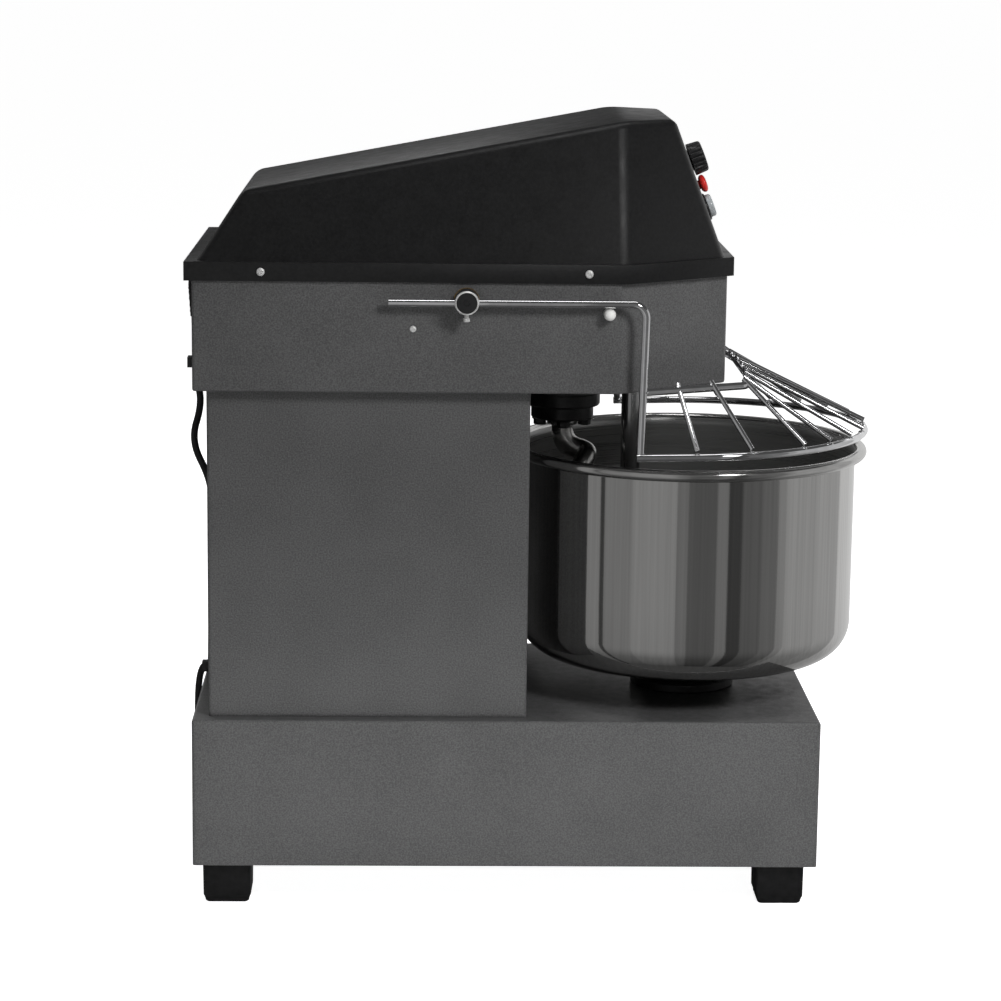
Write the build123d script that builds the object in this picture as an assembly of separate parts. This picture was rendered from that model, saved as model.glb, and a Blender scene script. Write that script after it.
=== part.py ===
from build123d import *
import math
import os

os.makedirs("parts", exist_ok=True)

# ---------------------------------------------------------------------------
# Driving dimensions, in millimetres.
# +X is the front (the bowl's side), +Y is the machine's left, +Z is up.
# The origin is on the floor, in the middle of the machine's outline.
# Stations along X are counted from the base's rear face, which is at X_REAR.
# ---------------------------------------------------------------------------
X_REAR = -351.55
SHEET = 2.0
GAP = 0.5
FIT = 0.05

FOOT_HEIGHT = 44.5
FOOT_Y = 138.0
FOOT_STATIONS = (35.0, 618.0)
BASE_LENGTH = 655.0
BASE_HALF = 174.5
DECK_Z = 201.3

COLUMN_REAR = 16.5
COLUMN_FRONT = 348.0
COLUMN_HALF = 158.0
RECESS_RADIUS = 205.0
COVER_HALF = 112.0
COVER_Z0 = 204.5
COVER_Z1 = 512.0

HEAD_Z = 545.7
HEAD_TOP = 659.0
HEAD_REAR = 3.4
HEAD_FRONT = 554.0
HEAD_HALF = 174.5
CORNER_START = 437.3
HEAD_NOSE_HALF = 86.8
FLANGE_TOP = 678.3
HOOD_TOP = 820.0
HOOD_WALL = 3.0

BOWL_AT = 523.5
BOWL_RADIUS = 181.0
BOWL_WALL = 1.2
BOWL_BOTTOM = 238.5
BOWL_CORNER = 40.0
RIM_Z = 463.6
RIM_CENTRE = 187.3
RIM_TUBE = 6.05

SPIRAL_AT = 388.0
SPIRAL_BAR = 22.0
SPIRAL_COIL = 28.0
ELBOW_Z = 458.0
HOOK_END_Z = 257.0
BREAKER_AT = 462.2
BREAKER_BAR = 20.8

JACK_AT = 262.0
MOTOR_AT = 105.0
IDLER_AT = 137.0
PITCH = 12.7
JACK_TEETH = 12
SPIRAL_TEETH = 21
IDLER_TEETH = 38
BOWL_TEETH = 57
SPROCKET_THICK = 7.0
HEAD_CHAIN_Z = 609.5
UPPER_CHAIN_Z = 148.5
LOWER_CHAIN_Z = 103.5
BELT_Z = 592.0
BIG_PULLEY = 100.0
SMALL_PULLEY = 25.0

PIVOT_AT = 281.2
PIVOT_Z = 641.0
GUARD_ROD = 8.0
ARM_Y = 187.0
LEG_AT = 460.0
HOOP_Z = 483.0
HOOP_RADIUS = 190.0
FRAME_Z = 550.0
SPOKE = 5.2

CORD = 7.5
HOLDER_DEPTH = 17.8
HOLDER_HOLE = 8.4
COIL_AT = (62.0, 258.0)
COIL_INNER = 33.4
COIL_OUTER = 48.6
COIL_Z0 = 0.9
COIL_Z1 = 16.0


def x(station):
    """Row X of a station counted from the base's rear face."""
    return station + X_REAR


def block(x0, x1, y0, y1, z0, z1):
    """A box between two corners, its X values given as stations."""
    middle = (x((x0 + x1) / 2), (y0 + y1) / 2, (z0 + z1) / 2)
    return Pos(*middle) * Box(x1 - x0, y1 - y0, z1 - z0)


def post(at, z0, z1, radius, y=0.0):
    """An upright cylinder at a station."""
    return Pos(x(at), y, (z0 + z1) / 2) * Cylinder(radius, z1 - z0)


def across(at, y0, y1, z, radius):
    """A cylinder along Y at a station."""
    return Pos(x(at), (y0 + y1) / 2, z) * Rot(90, 0, 0) * Cylinder(radius, abs(y1 - y0))


def along(x0, x1, y, z, radius):
    """A cylinder along X between two stations."""
    return Pos(x((x0 + x1) / 2), y, z) * Rot(0, 90, 0) * Cylinder(radius, abs(x1 - x0))


def prism(outline, z0, z1):
    """An upright prism of an outline of (station, y) points."""
    face = make_face(Polyline(*[(x(px), py) for px, py in outline], close=True))
    return Pos(0, 0, z0) * extrude(face, z1 - z0)


def turned(at, profile, y=0.0):
    """A solid of revolution about an upright axis; the profile is (radius, z) points."""
    face = make_face(Polyline(*[(r, 0, z) for r, z in profile], close=True))
    return Pos(x(at), y, 0) * revolve(face, Axis.Z)


def tube(at, z0, z1, outer, inner, y=0.0):
    """An upright ring at a station."""
    return turned(at, [(inner, z0), (outer, z0), (outer, z1), (inner, z1)], y)


def hexagon(at, y, z0, z1, flats):
    """An upright hexagonal bolt head or nut."""
    return Pos(x(at), y, z0) * extrude(RegularPolygon(flats / 2, 6, major_radius=False), z1 - z0)


def bent_rod(points, diameter, radii):
    """A round bar along straight runs joined by tangent arcs, from (station, y, z) points."""
    path = FilletPolyline(*[(x(px), py, pz) for px, py, pz in points], radius=radii)
    section = Plane(origin=path @ 0, z_dir=path % 0) * Circle(diameter / 2)
    return sweep(section, path=path)


def straight_rod(start, end, diameter):
    """A straight round bar between two (station, y, z) points."""
    a = Vector(x(start[0]), start[1], start[2])
    reach = Vector(x(end[0]), end[1], end[2]) - a
    return extrude(Plane(origin=a, z_dir=reach) * Circle(diameter / 2), reach.length)


def arc_radii(points):
    """The largest tangent arc at each corner that its two runs allow."""
    spots = [Vector(*p) for p in points]
    radii = []
    for before, corner, after in zip(spots, spots[1:], spots[2:]):
        turn = math.radians((corner - before).get_angle(after - corner))
        run = min((corner - before).length, (after - corner).length)
        radii.append(0.45 * run / math.tan(turn / 2))
    return radii


def circle_spots(at, radius, count, first):
    """Evenly spaced (station, y) points on a circle."""
    angles = [math.radians(first + 360 * i / count) for i in range(count)]
    return [(at + radius * math.cos(a), radius * math.sin(a)) for a in angles]


def pair(shape):
    """A piece and its mirror image across the middle plane."""
    return [shape, mirror(shape, about=Plane.XZ)]


def save(name, *shapes):
    """One STEP file for one named piece or group of separate pieces."""
    solids = [solid for shape in shapes for solid in shape.solids()]
    export_step(solids[0] if len(solids) == 1 else Compound(children=solids), f"parts/{name}.step")


# ---------------------------------------------------------------------------
# Base: a folded sheet box on rubber feet
# ---------------------------------------------------------------------------
def base_housing():
    outer = block(0, BASE_LENGTH, -BASE_HALF, BASE_HALF, FOOT_HEIGHT, DECK_Z)
    outer = fillet(outer.edges().filter_by(Axis.Z), 3.5)
    outer = fillet(outer.faces().sort_by(Axis.Z)[-1].edges(), 3.0)
    side = BASE_HALF - SHEET
    shell = outer - block(SHEET, BASE_LENGTH - SHEET, -side, side, 0, DECK_Z - SHEET)
    shell -= post(BOWL_AT, DECK_Z - 5, DECK_Z + 5, 39)
    for px, py in circle_spots(BOWL_AT, 47, 4, 45):
        shell -= post(px, DECK_Z - 5, DECK_Z + 5, 4.3, py)
    return shell - post(JACK_AT, DECK_Z - 5, DECK_Z + 5, 14)


def base_floor():
    z0 = FOOT_HEIGHT + GAP
    side = BASE_HALF - SHEET - GAP
    plate = block(SHEET + GAP, BASE_LENGTH - SHEET - GAP, -side, side, z0, z0 + SHEET)
    for at in (200, 260, 320, 380, 440):
        plate -= block(at - 6, at + 6, -60, 60, z0 - 1, z0 + 5)
    for at in FOOT_STATIONS:
        plate -= post(at, z0 - 1, z0 + 5, 5.3, FOOT_Y)
        plate -= post(at, z0 - 1, z0 + 5, 5.3, -FOOT_Y)
    return plate


def base_rails():
    """Two box-section rails that the feet bolt to."""
    z0 = FOOT_HEIGHT + GAP + SHEET
    rail = block(4, BASE_LENGTH - 4, -168, -128, z0, z0 + 25)
    rail -= block(0, BASE_LENGTH, -165.5, -130.5, z0 + 2.5, z0 + 22.5)
    for at in FOOT_STATIONS:
        rail -= post(at, z0 - 1, z0 + 5, 5.3, -FOOT_Y)
    return pair(rail)


def feet():
    shapes = []
    for at in FOOT_STATIONS:
        sections = [(0.0, 46.0), (6.0, 49.5), (FOOT_HEIGHT, 50.5)]
        foot = loft([Pos(x(at), -FOOT_Y, z) * RectangleRounded(w, w, 4) for z, w in sections], ruled=True)
        foot -= post(at, -1, 14, 11, -FOOT_Y)
        shapes += pair(foot - post(at, 0, 60, 5.3, -FOOT_Y))
    return shapes


def foot_bolts():
    shapes = []
    for at in FOOT_STATIONS:
        bolt = post(at, 14, 58, 5, -FOOT_Y) + hexagon(at, -FOOT_Y, 7.5, 14, 17)
        shapes += pair(bolt)
    return shapes


# ---------------------------------------------------------------------------
# Column: side and rear shell, hollow front panel, rear cover
# ---------------------------------------------------------------------------
def column_shell():
    outer = block(COLUMN_REAR, COLUMN_FRONT, -COLUMN_HALF, COLUMN_HALF, DECK_Z, HEAD_Z)
    outer = fillet(outer.edges().filter_by(Axis.Z), 3.5)
    side = COLUMN_HALF - SHEET
    shell = outer - block(COLUMN_REAR + SHEET, COLUMN_FRONT - SHEET, -side, side, 0, HEAD_Z + 1)
    half = math.sqrt(RECESS_RADIUS**2 - (BOWL_AT - COLUMN_FRONT) ** 2)
    shell -= post(BOWL_AT, DECK_Z - 1, HEAD_Z + 1, RECESS_RADIUS)
    shell -= block(300, 360, -half, half, DECK_Z - 1, HEAD_Z + 1)
    edge = COVER_HALF + GAP
    return shell - block(COLUMN_REAR - 1, COLUMN_REAR + 3, -edge, edge, COVER_Z0 - GAP, COVER_Z1 + GAP)


def column_front():
    """The hollow front panel that leaves room for the bowl's rim."""
    panel = tube(BOWL_AT, DECK_Z, HEAD_Z, RECESS_RADIUS + SHEET, RECESS_RADIUS)
    return panel & block(300, COLUMN_FRONT - SHEET - 0.1, -150, 150, DECK_Z, HEAD_Z)


def rear_cover():
    cover = block(COLUMN_REAR, COLUMN_REAR + SHEET, -COVER_HALF, COVER_HALF, COVER_Z0, COVER_Z1)
    for row in range(8):
        for side in (-62, 62):
            z = 420 + 9 * row
            cover -= block(COLUMN_REAR - 1, COLUMN_REAR + 4, side - 32, side + 32, z, z + 3.5)
    return cover


# ---------------------------------------------------------------------------
# Head: a folded sheet tray that carries the drive, and its moulded hood
# ---------------------------------------------------------------------------
def nosed(rear, half, start, front, nose):
    """A plan outline with its two front corners cut off at a slant."""
    return [(rear, -half), (start, -half), (front, -nose), (front, nose), (start, half), (rear, half)]


def head_housing():
    outline = nosed(HEAD_REAR, HEAD_HALF, CORNER_START, HEAD_FRONT, HEAD_NOSE_HALF)
    outer = fillet(prism(outline, HEAD_Z, HEAD_TOP).edges().filter_by(Axis.Z), 3.5)
    start, nose = CORNER_START - 0.7, HEAD_NOSE_HALF - 0.7
    inside = nosed(HEAD_REAR + SHEET, HEAD_HALF - SHEET, start, HEAD_FRONT - SHEET, nose)
    shell = outer - prism(inside, HEAD_Z + SHEET, HEAD_TOP + 1)
    for at, radius in ((SPIRAL_AT, 34), (BREAKER_AT, 10.8), (JACK_AT, 14), (MOTOR_AT, 40)):
        shell -= post(at, HEAD_Z - 1, HEAD_Z + 3, radius)
    shell -= across(PIVOT_AT, -HEAD_HALF - 1, HEAD_HALF + 1, PIVOT_Z, 13)
    return shell - along(HEAD_REAR - 1, HEAD_REAR + 3, 0, RELIEF_Z, 8.2)


def hood_form(inset):
    """The hood above its flange: its outside, or with an inset its inside."""
    skew = inset * 0.3
    low = nosed(8.7 + inset, 172 - inset, 443 - skew, 550 - inset, 91.5 - skew)
    high = nosed(53.4 + inset, 137 - inset, 438.5 - skew, 492 - inset, 96.7 - skew)
    rise = (819.0 - 747.0) / (438.5 - 53.4)
    low_ring = [(x(px), py, FLANGE_TOP - 1 if inset else FLANGE_TOP) for px, py in low]
    high_ring = [(x(px), py, 747.0 + (px - 53.4) * rise - inset) for px, py in high]
    faces = [make_face(Polyline(*points, close=True)) for points in (low_ring, high_ring)]
    return loft(faces, ruled=True) - block(0, 700, -300, 300, HOOD_TOP - inset, HOOD_TOP + 100)


def hood():
    flange = prism(nosed(-4, 178, 446, 560, 92.1), HEAD_TOP, FLANGE_TOP)
    outer = fillet(flange.edges().filter_by(Axis.Z), 6) + hood_form(0)
    lap = nosed(HEAD_REAR - GAP, HEAD_HALF + GAP, CORNER_START + 1, HEAD_FRONT + GAP, HEAD_NOSE_HALF + GAP)
    throat = nosed(12.5, 168, 441, 546, 90)
    shell = outer - prism(lap, HEAD_TOP - 1, HEAD_TOP + 14) - prism(throat, HEAD_TOP, FLANGE_TOP + 1)
    shell -= hood_form(HOOD_WALL)
    for spot in (KNOB_S, STOP_S, START_S):
        shell -= on_slope(spot, -12, 6, 8.5)
    return shell


# The operating panel lies on the hood's sloping front face.
SLOPE = Plane(origin=(x(501.1), 0, 805.4), x_dir=(0, 1, 0), z_dir=(0.9334, 0, 0.3588))
KNOB_S = 38.7
STOP_S = 66.6
START_S = 91.2
SWITCH_STEM = 5.0


def on_slope(s, n0, n1, radius):
    """A round piece on the sloping front: s down the slope, from n0 to n1 off its face."""
    return SLOPE * Pos(0, -s, (n0 + n1) / 2) * Cylinder(radius, n1 - n0)


def slope_cone(s, n0, n1, r0, r1):
    """A tapered piece on the sloping front."""
    return SLOPE * Pos(0, -s, (n0 + n1) / 2) * Cone(r0, r1, n1 - n0)


def control_plate():
    plate = SLOPE * Pos(0, -66, 1.0) * Box(84, 106, 1.5)
    for spot in (KNOB_S, STOP_S, START_S):
        plate -= on_slope(spot, 0, 4, 8.5)
    return plate


def timer_body():
    body = on_slope(KNOB_S, -44, -4, 15) + on_slope(KNOB_S, -4, 1.8, 8) + on_slope(KNOB_S, 1.8, 5.2, 13)
    return body - on_slope(KNOB_S, -30, 7, 3 + FIT)


def timer_knob():
    knob = slope_cone(KNOB_S, 6, 21, 17.4, 16.2) + on_slope(KNOB_S, 5.7, 6, 8)
    for flute in range(18):
        turn = Rot(0, 0, 20 * flute) * Pos(18.3, 0, 0) * Cylinder(1.9, 40)
        knob -= SLOPE * Pos(0, -KNOB_S, 14) * turn
    return knob + on_slope(KNOB_S, -29, 6, 3)


def push_switches():
    """Two switch blocks behind the hood, and the lower one's round bezel."""
    shapes = []
    for spot in (STOP_S, START_S):
        body = SLOPE * Pos(0, -spot, -17) * Box(30, 20, 26)
        body += on_slope(spot, -4, 3, 8)
        if spot == START_S:
            body += on_slope(spot, 1.8, 6.5, 14.5) - on_slope(spot, 3, 7, 13)
        shapes.append(body - on_slope(spot, -24, 7, SWITCH_STEM + FIT))
    return shapes


def stop_button():
    head = slope_cone(STOP_S, 6.2, 9, 7, 9.5) + slope_cone(STOP_S, 9, 13, 9.5, 8)
    return head + on_slope(STOP_S, -18, 7, SWITCH_STEM)


def start_button():
    return slope_cone(START_S, 6.3, 12.5, 12.5, 11.6) + on_slope(START_S, -18, 7, SWITCH_STEM)


def screw_along_y(at, z, face):
    """A pan-head screw on the -Y side with its head on a face."""
    return across(at, -face - 2.4, -face, z, 4.2) + across(at, -face, -face + 9, z, 2)


def cover_screws():
    """The hood's flange screws, the side screws and the rear cover's screws."""
    shapes = pair(screw_along_y(73.5, 668.4, 178)) + pair(screw_along_y(404.9, 668.8, 178))
    shapes += pair(screw_along_y(227.2, 611.3, HEAD_HALF))
    for z in (COVER_Z0 + 12, COVER_Z1 - 12):
        for y in (10 - COVER_HALF, COVER_HALF - 10):
            shank = along(COLUMN_REAR, COLUMN_REAR + 9, y, z, 2)
            shapes.append(shank + along(COLUMN_REAR - 2.4, COLUMN_REAR, y, z, 4.2))
    for y in (-110, 110):
        shapes.append(along(-6.4, -4, y, 668.5, 4.2) + along(-4, 5, y, 668.5, 2))
    return shapes


def contactor_box():
    return block(24, 128, 112, 168, HEAD_Z + SHEET, 640)


# ---------------------------------------------------------------------------
# Bowl and its spindle
# ---------------------------------------------------------------------------
def bowl_wall():
    inner = BOWL_RADIUS - BOWL_WALL
    return tube(BOWL_AT, BOWL_BOTTOM + BOWL_CORNER, RIM_Z + 2, BOWL_RADIUS, inner)


def bowl_rim():
    """The rolled bead around the bowl's mouth."""
    bead = Pos(x(BOWL_AT), 0, RIM_Z) * Torus(RIM_CENTRE, RIM_TUBE)
    return bead + tube(BOWL_AT, RIM_Z - 1, RIM_Z + 2, RIM_CENTRE - 3, BOWL_RADIUS)


def bowl_base():
    """The dished bottom: a flat disc and its round corner up to the wall."""
    low = BOWL_BOTTOM
    floor = BOWL_BOTTOM + BOWL_WALL
    corner = BOWL_CORNER - BOWL_WALL
    flat = BOWL_RADIUS - BOWL_CORNER
    top = low + BOWL_CORNER
    at45 = math.sqrt(0.5)
    outside = ThreePointArc(
        (flat, 0, low), (flat + BOWL_CORNER * at45, 0, top - BOWL_CORNER * at45), (BOWL_RADIUS, 0, top)
    )
    inside = ThreePointArc(
        (flat, 0, floor), (flat + corner * at45, 0, top - corner * at45), (flat + corner, 0, top)
    )
    edges = [
        Line((0, 0, low), (flat, 0, low)),
        outside,
        Line((BOWL_RADIUS, 0, top), (flat + corner, 0, top)),
        inside,
        Line((flat, 0, floor), (0, 0, floor)),
        Line((0, 0, floor), (0, 0, low)),
    ]
    dish = Pos(x(BOWL_AT), 0, 0) * revolve(make_face(edges), Axis.Z)
    for px, py in circle_spots(BOWL_AT, 30, 4, 0):
        dish -= post(px, low - 1, floor + 1, 4.2, py)
    return dish


def bowl_spindle():
    plate = BOWL_BOTTOM - 10
    profile = [
        (0, 92), (15, 92), (15, 226.5), (22, 226.5), (22, plate), (42, plate), (42, BOWL_BOTTOM),
        (0, BOWL_BOTTOM),
    ]
    return turned(BOWL_AT, profile)


def bowl_screws():
    """Four dome-head screws through the bowl's bottom."""
    shapes = []
    z = BOWL_BOTTOM + BOWL_WALL
    for px, py in circle_spots(BOWL_AT, 30, 4, 0):
        shapes.append(post(px, z, z + 4, 7, py) + post(px, BOWL_BOTTOM, z, 4, py))
    return shapes


def bowl_housing():
    profile = [
        (31, 162), (38, 162), (38, DECK_Z), (56, DECK_Z), (56, 211), (38, 214), (38, 226),
        (24, 226), (24, 224), (31, 224),
    ]
    body = turned(BOWL_AT, profile)
    for px, py in circle_spots(BOWL_AT, 47, 4, 45):
        body -= post(px, DECK_Z - 1, 215, 4.3, py)
    return body


# ---------------------------------------------------------------------------
# Spiral hook, its bearing housing and the breaker bar
# ---------------------------------------------------------------------------
def hook_points():
    """The hook's helix, from the elbow's end down to the bowl's floor, as it narrows."""
    steps = 15
    points = []
    for i in range(steps + 1):
        z = ELBOW_Z + (HOOK_END_Z - ELBOW_Z) * i / steps
        radius = SPIRAL_COIL - 15 * max(0.0, (i - 10) / (steps - 10))
        angle = math.radians(-30 * i)
        points.append((SPIRAL_AT + radius * math.cos(angle), radius * math.sin(angle), z))
    return points


def spiral_hook():
    points = hook_points()
    radius = SPIRAL_BAR / 2
    end = points[-1]
    profile = [(0, ELBOW_Z), (radius, ELBOW_Z), (radius, 510), (12.5, 512), (12.5, 626), (0, 626)]
    shaft = turned(SPIRAL_AT, profile)
    shaft += Pos(x(SPIRAL_AT), 0, ELBOW_Z) * Sphere(radius + 0.6)
    shaft += along(SPIRAL_AT, SPIRAL_AT + SPIRAL_COIL, 0, ELBOW_Z, radius + 0.3)
    shaft += Pos(x(SPIRAL_AT + SPIRAL_COIL), 0, ELBOW_Z) * Sphere(radius + 0.4)
    shaft += bent_rod(points, SPIRAL_BAR, arc_radii(points))
    return shaft + Pos(x(end[0]), end[1], end[2]) * Sphere(radius)


def spiral_housing():
    """The cast bearing housing, hung through the head's floor."""
    profile = [
        (11.6, 494), (33.6, 494), (33.6, 508.4), (40.5, 508.4), (40.5, HEAD_Z), (33.5, HEAD_Z), (33.5, 578),
        (26, 578), (26, 510), (16, 510), (16, 505), (11.6, 505),
    ]
    body = turned(SPIRAL_AT, profile)
    for px, py in circle_spots(SPIRAL_AT, 24, 4, 0):
        body -= post(px, 493, 504, 3.4, py)
    return body


def housing_bolts():
    """Bolts of the spiral's and the bowl's bearing housings."""
    shapes = []
    for px, py in circle_spots(SPIRAL_AT, 24, 4, 0):
        shapes.append(hexagon(px, py, 487, 494, 12) + post(px, 494, 503, 3.2, py))
    for px, py in circle_spots(BOWL_AT, 47, 4, 45):
        shapes.append(hexagon(px, py, 214.2, 220.5, 13) + post(px, DECK_Z - 10, 214.2, 4, py))
    return shapes


def ball_bearings():
    """The deep-groove bearings of the spiral shaft and the bowl spindle."""
    spiral = [tube(SPIRAL_AT, z, z + 15, 26, 12.5 + FIT) for z in (513, 561)]
    spindle = [tube(BOWL_AT, z, z + 16, 31, 15 + FIT) for z in (164, 207)]
    return spiral + spindle


def breaker_bar():
    """The fixed bar that holds the dough back, with its mounting flange in the head."""
    bar = post(BREAKER_AT, 252, 560, BREAKER_BAR / 2)
    return bar + post(BREAKER_AT, HEAD_Z + SHEET, HEAD_Z + SHEET + 8, 24)


# ---------------------------------------------------------------------------
# Drive: motor, belt, jackshaft, idler, chains and sprockets
# ---------------------------------------------------------------------------
def motor_housing():
    shell = turned(MOTOR_AT, [(62, 330), (66, 330), (66, 512), (62, 512)])
    for angle in range(0, 360, 15):
        fin = Pos(x(MOTOR_AT), 0, 420) * Rot(0, 0, angle) * Pos(68, 0, 0) * Box(8, 2.4, 150)
        shell += fin
    top = turned(MOTOR_AT, [(9.5 + FIT, 512), (75, 512), (75, 524), (9.5 + FIT, 524)])
    low = turned(MOTOR_AT, [(9.5 + FIT, 322), (66, 322), (66, 330), (9.5 + FIT, 330)])
    cover = turned(MOTOR_AT, [(64, 285), (66, 285), (66, 322), (64, 322)])
    stator = turned(MOTOR_AT, [(39, 360), (62, 360), (62, 480), (39, 480)])
    box = Pos(x(MOTOR_AT), 86, 440) * Box(80, 36, 70)
    return shell + top + low + cover + stator + box


def motor_mount():
    plate = block(MOTOR_AT - 80, MOTOR_AT + 80, -85, 85, 524, 533)
    plate -= post(MOTOR_AT, 520, 540, 40)
    for px, py in ((MOTOR_AT - 68, -72), (MOTOR_AT + 68, -72), (MOTOR_AT - 68, 72), (MOTOR_AT + 68, 72)):
        plate += post(px, 533, HEAD_Z, 9, py)
    return plate


def motor_rotor():
    """The motor's shaft with its rotor core and its cooling fan."""
    shaft = turned(MOTOR_AT, [(0, 292), (9.5, 292), (9.5, 604), (0, 604)])
    core = post(MOTOR_AT, 362, 478, 38)
    fan = post(MOTOR_AT, 296, 316, 16)
    for angle in range(0, 360, 60):
        fan += Pos(x(MOTOR_AT), 0, 306) * Rot(0, 0, angle) * Pos(34, 0, 0) * Box(44, 2.5, 16)
    return shaft + core + fan


def pulley(at, pitch_radius, bore):
    """A V-belt pulley with one groove at the belt's height."""
    rim = pitch_radius + 3
    root = pitch_radius - 5
    z = BELT_Z
    profile = [
        (bore, z - 9), (rim, z - 9), (rim, z - 5.6), (root, z - 4.2), (root, z + 4.2),
        (rim, z + 5.6), (rim, z + 9), (bore, z + 9),
    ]
    return turned(at, profile)


def big_pulley():
    wheel = pulley(JACK_AT, BIG_PULLEY, 12.5)
    for px, py in circle_spots(JACK_AT, 58, 5, 0):
        wheel -= post(px, BELT_Z - 20, BELT_Z + 20, 22, py)
    return wheel


def loop_band(at_a, radius_a, at_b, radius_b, half, z0, z1):
    """A flat band around two wheels, its middle line at their radii."""
    def filled(extra):
        rings = [Pos(x(at_a), 0) * Circle(radius_a + extra), Pos(x(at_b), 0) * Circle(radius_b + extra)]
        return make_hull([edge for ring in rings for edge in ring.edges()])
    return Pos(0, 0, z0) * extrude(filled(half) - filled(-half), z1 - z0)


def drive_belt():
    return loop_band(MOTOR_AT, SMALL_PULLEY - 1, JACK_AT, BIG_PULLEY - 1, 3, BELT_Z - 3.6, BELT_Z + 3.6)


def pitch_radius_of(teeth):
    return teeth * PITCH / (2 * math.pi)


def sprocket(at, teeth, z, bore, boss):
    """A chain wheel: a toothed plate about height z, and a boss above it."""
    root = pitch_radius_of(teeth) - 4
    tip = pitch_radius_of(teeth) + 4
    outline = []
    for tooth in range(teeth):
        for share, radius in ((-0.30, root), (-0.12, tip), (0.12, tip), (0.30, root)):
            angle = 2 * math.pi * (tooth + share) / teeth
            outline.append((radius * math.cos(angle), radius * math.sin(angle)))
    plate = extrude(make_face(Polyline(*outline, close=True)), SPROCKET_THICK)
    wheel = Pos(x(at), 0, z - SPROCKET_THICK / 2) * plate + post(at, z, z + 13, boss)
    return wheel - post(at, z - 20, z + 20, bore)


def chain(at_a, teeth_a, at_b, teeth_b, z):
    """A chain as two side bands, tied by its pins where it runs straight."""
    ra, rb = pitch_radius_of(teeth_a), pitch_radius_of(teeth_b)
    shape = loop_band(at_a, ra, at_b, rb, 4.5, z + 4.2, z + 5.7)
    shape += loop_band(at_a, ra, at_b, rb, 4.5, z - 5.7, z - 4.2)
    reach = at_b - at_a
    lean = math.acos((ra - rb) / reach)
    strand = reach * math.sin(lean)
    count = int((strand - 90) / PITCH)
    for i in range(count + 1):
        share = 0.5 + (i - count / 2) * PITCH / strand
        px = at_a + ra * math.cos(lean) + share * (reach + (rb - ra) * math.cos(lean))
        py = (ra + share * (rb - ra)) * math.sin(lean)
        for side in (-1, 1):
            shape += post(px, z - 5.7, z + 5.7, 2.4, side * py)
    return shape


def jack_shaft():
    return post(JACK_AT, 136, 622, 12.5)


def jack_sprockets():
    return [sprocket(JACK_AT, JACK_TEETH, z, 12.5, 18) for z in (HEAD_CHAIN_Z, UPPER_CHAIN_Z)]


def idler_shaft():
    return post(IDLER_AT, 92, 196, 10)


def idler_sprockets():
    return [
        sprocket(IDLER_AT, IDLER_TEETH, UPPER_CHAIN_Z, 10, 22),
        sprocket(IDLER_AT, JACK_TEETH, LOWER_CHAIN_Z, 10, 18),
    ]


def bearing_unit(at, z0, z1, bore, hang):
    """A square flanged bearing unit; with hang its flange is at the top."""
    flange = (z1 - 10, z1) if hang else (z0, z0 + 10)
    unit = block(at - 46, at + 46, -46, 46, *flange) + post(at, z0, z1, 34)
    for px in (at - 36, at + 36):
        for py in (-36, 36):
            unit -= post(px, z0 - 1, z1 + 1, 5.2, py)
    return unit - post(at, z0 - 1, z1 + 1, bore + FIT)


def shaft_bearings():
    under_deck = DECK_Z - SHEET
    return [
        bearing_unit(JACK_AT, HEAD_Z + SHEET, HEAD_Z + SHEET + 30, 12.5, False),
        bearing_unit(JACK_AT, under_deck - 30, under_deck, 12.5, True),
        bearing_unit(IDLER_AT, under_deck - 30, under_deck, 10, True),
    ]


# ---------------------------------------------------------------------------
# Bowl guard: bent rods that swing on a shaft through the head
# ---------------------------------------------------------------------------
HOOP_RISE = 4.0
FRONT_BAR_AT = 571.0
FRONT_BAR_BOW = 11.0
FRONT_BAR_HALF = 134.0


def guard_arm():
    """One side's arm and leg, as one bent rod, on the -Y side."""
    y = -ARM_Y
    points = [(202.5, y, 639.5), (LEG_AT + 3, y, 639.5), (LEG_AT - 0.5, y - 1.0, HOOP_Z + 2)]
    return bent_rod(points, GUARD_ROD, [14])


def hoop_z(at):
    """Height of the hoop's middle line at a station: it rises a little to the front."""
    return HOOP_Z + HOOP_RISE * (at - LEG_AT) / (BOWL_AT + HOOP_RADIUS - LEG_AT)


def guard_hoop():
    front = BOWL_AT + HOOP_RADIUS
    start = Vector(x(LEG_AT - 4.5), 0, hoop_z(LEG_AT - 4.5))
    slope = Vector(x(front), 0, hoop_z(front)) - start
    plane = Plane(origin=start, x_dir=slope, z_dir=Vector(0, 1, 0).cross(slope) * -1)
    straight = BOWL_AT - LEG_AT + 4.5
    r = HOOP_RADIUS
    path = plane * (
        Line((0, -r), (straight, -r)) + ThreePointArc((straight, -r), (straight + r, 0), (straight, r))
        + Line((straight, r), (0, r))
    )
    section = Plane(origin=path @ 0, z_dir=path % 0) * Circle(GUARD_ROD / 2)
    return sweep(section, path=path)


def frame_half(at):
    """Half width of the upper frame at a station on its side bars."""
    return ARM_Y + (FRONT_BAR_HALF - ARM_Y) * (at - LEG_AT) / (FRONT_BAR_AT - LEG_AT)


def front_bar_at(y):
    """Station of the bowed front bar at a given y."""
    return FRONT_BAR_AT + FRONT_BAR_BOW * (1 - (y / FRONT_BAR_HALF) ** 2)


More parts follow.
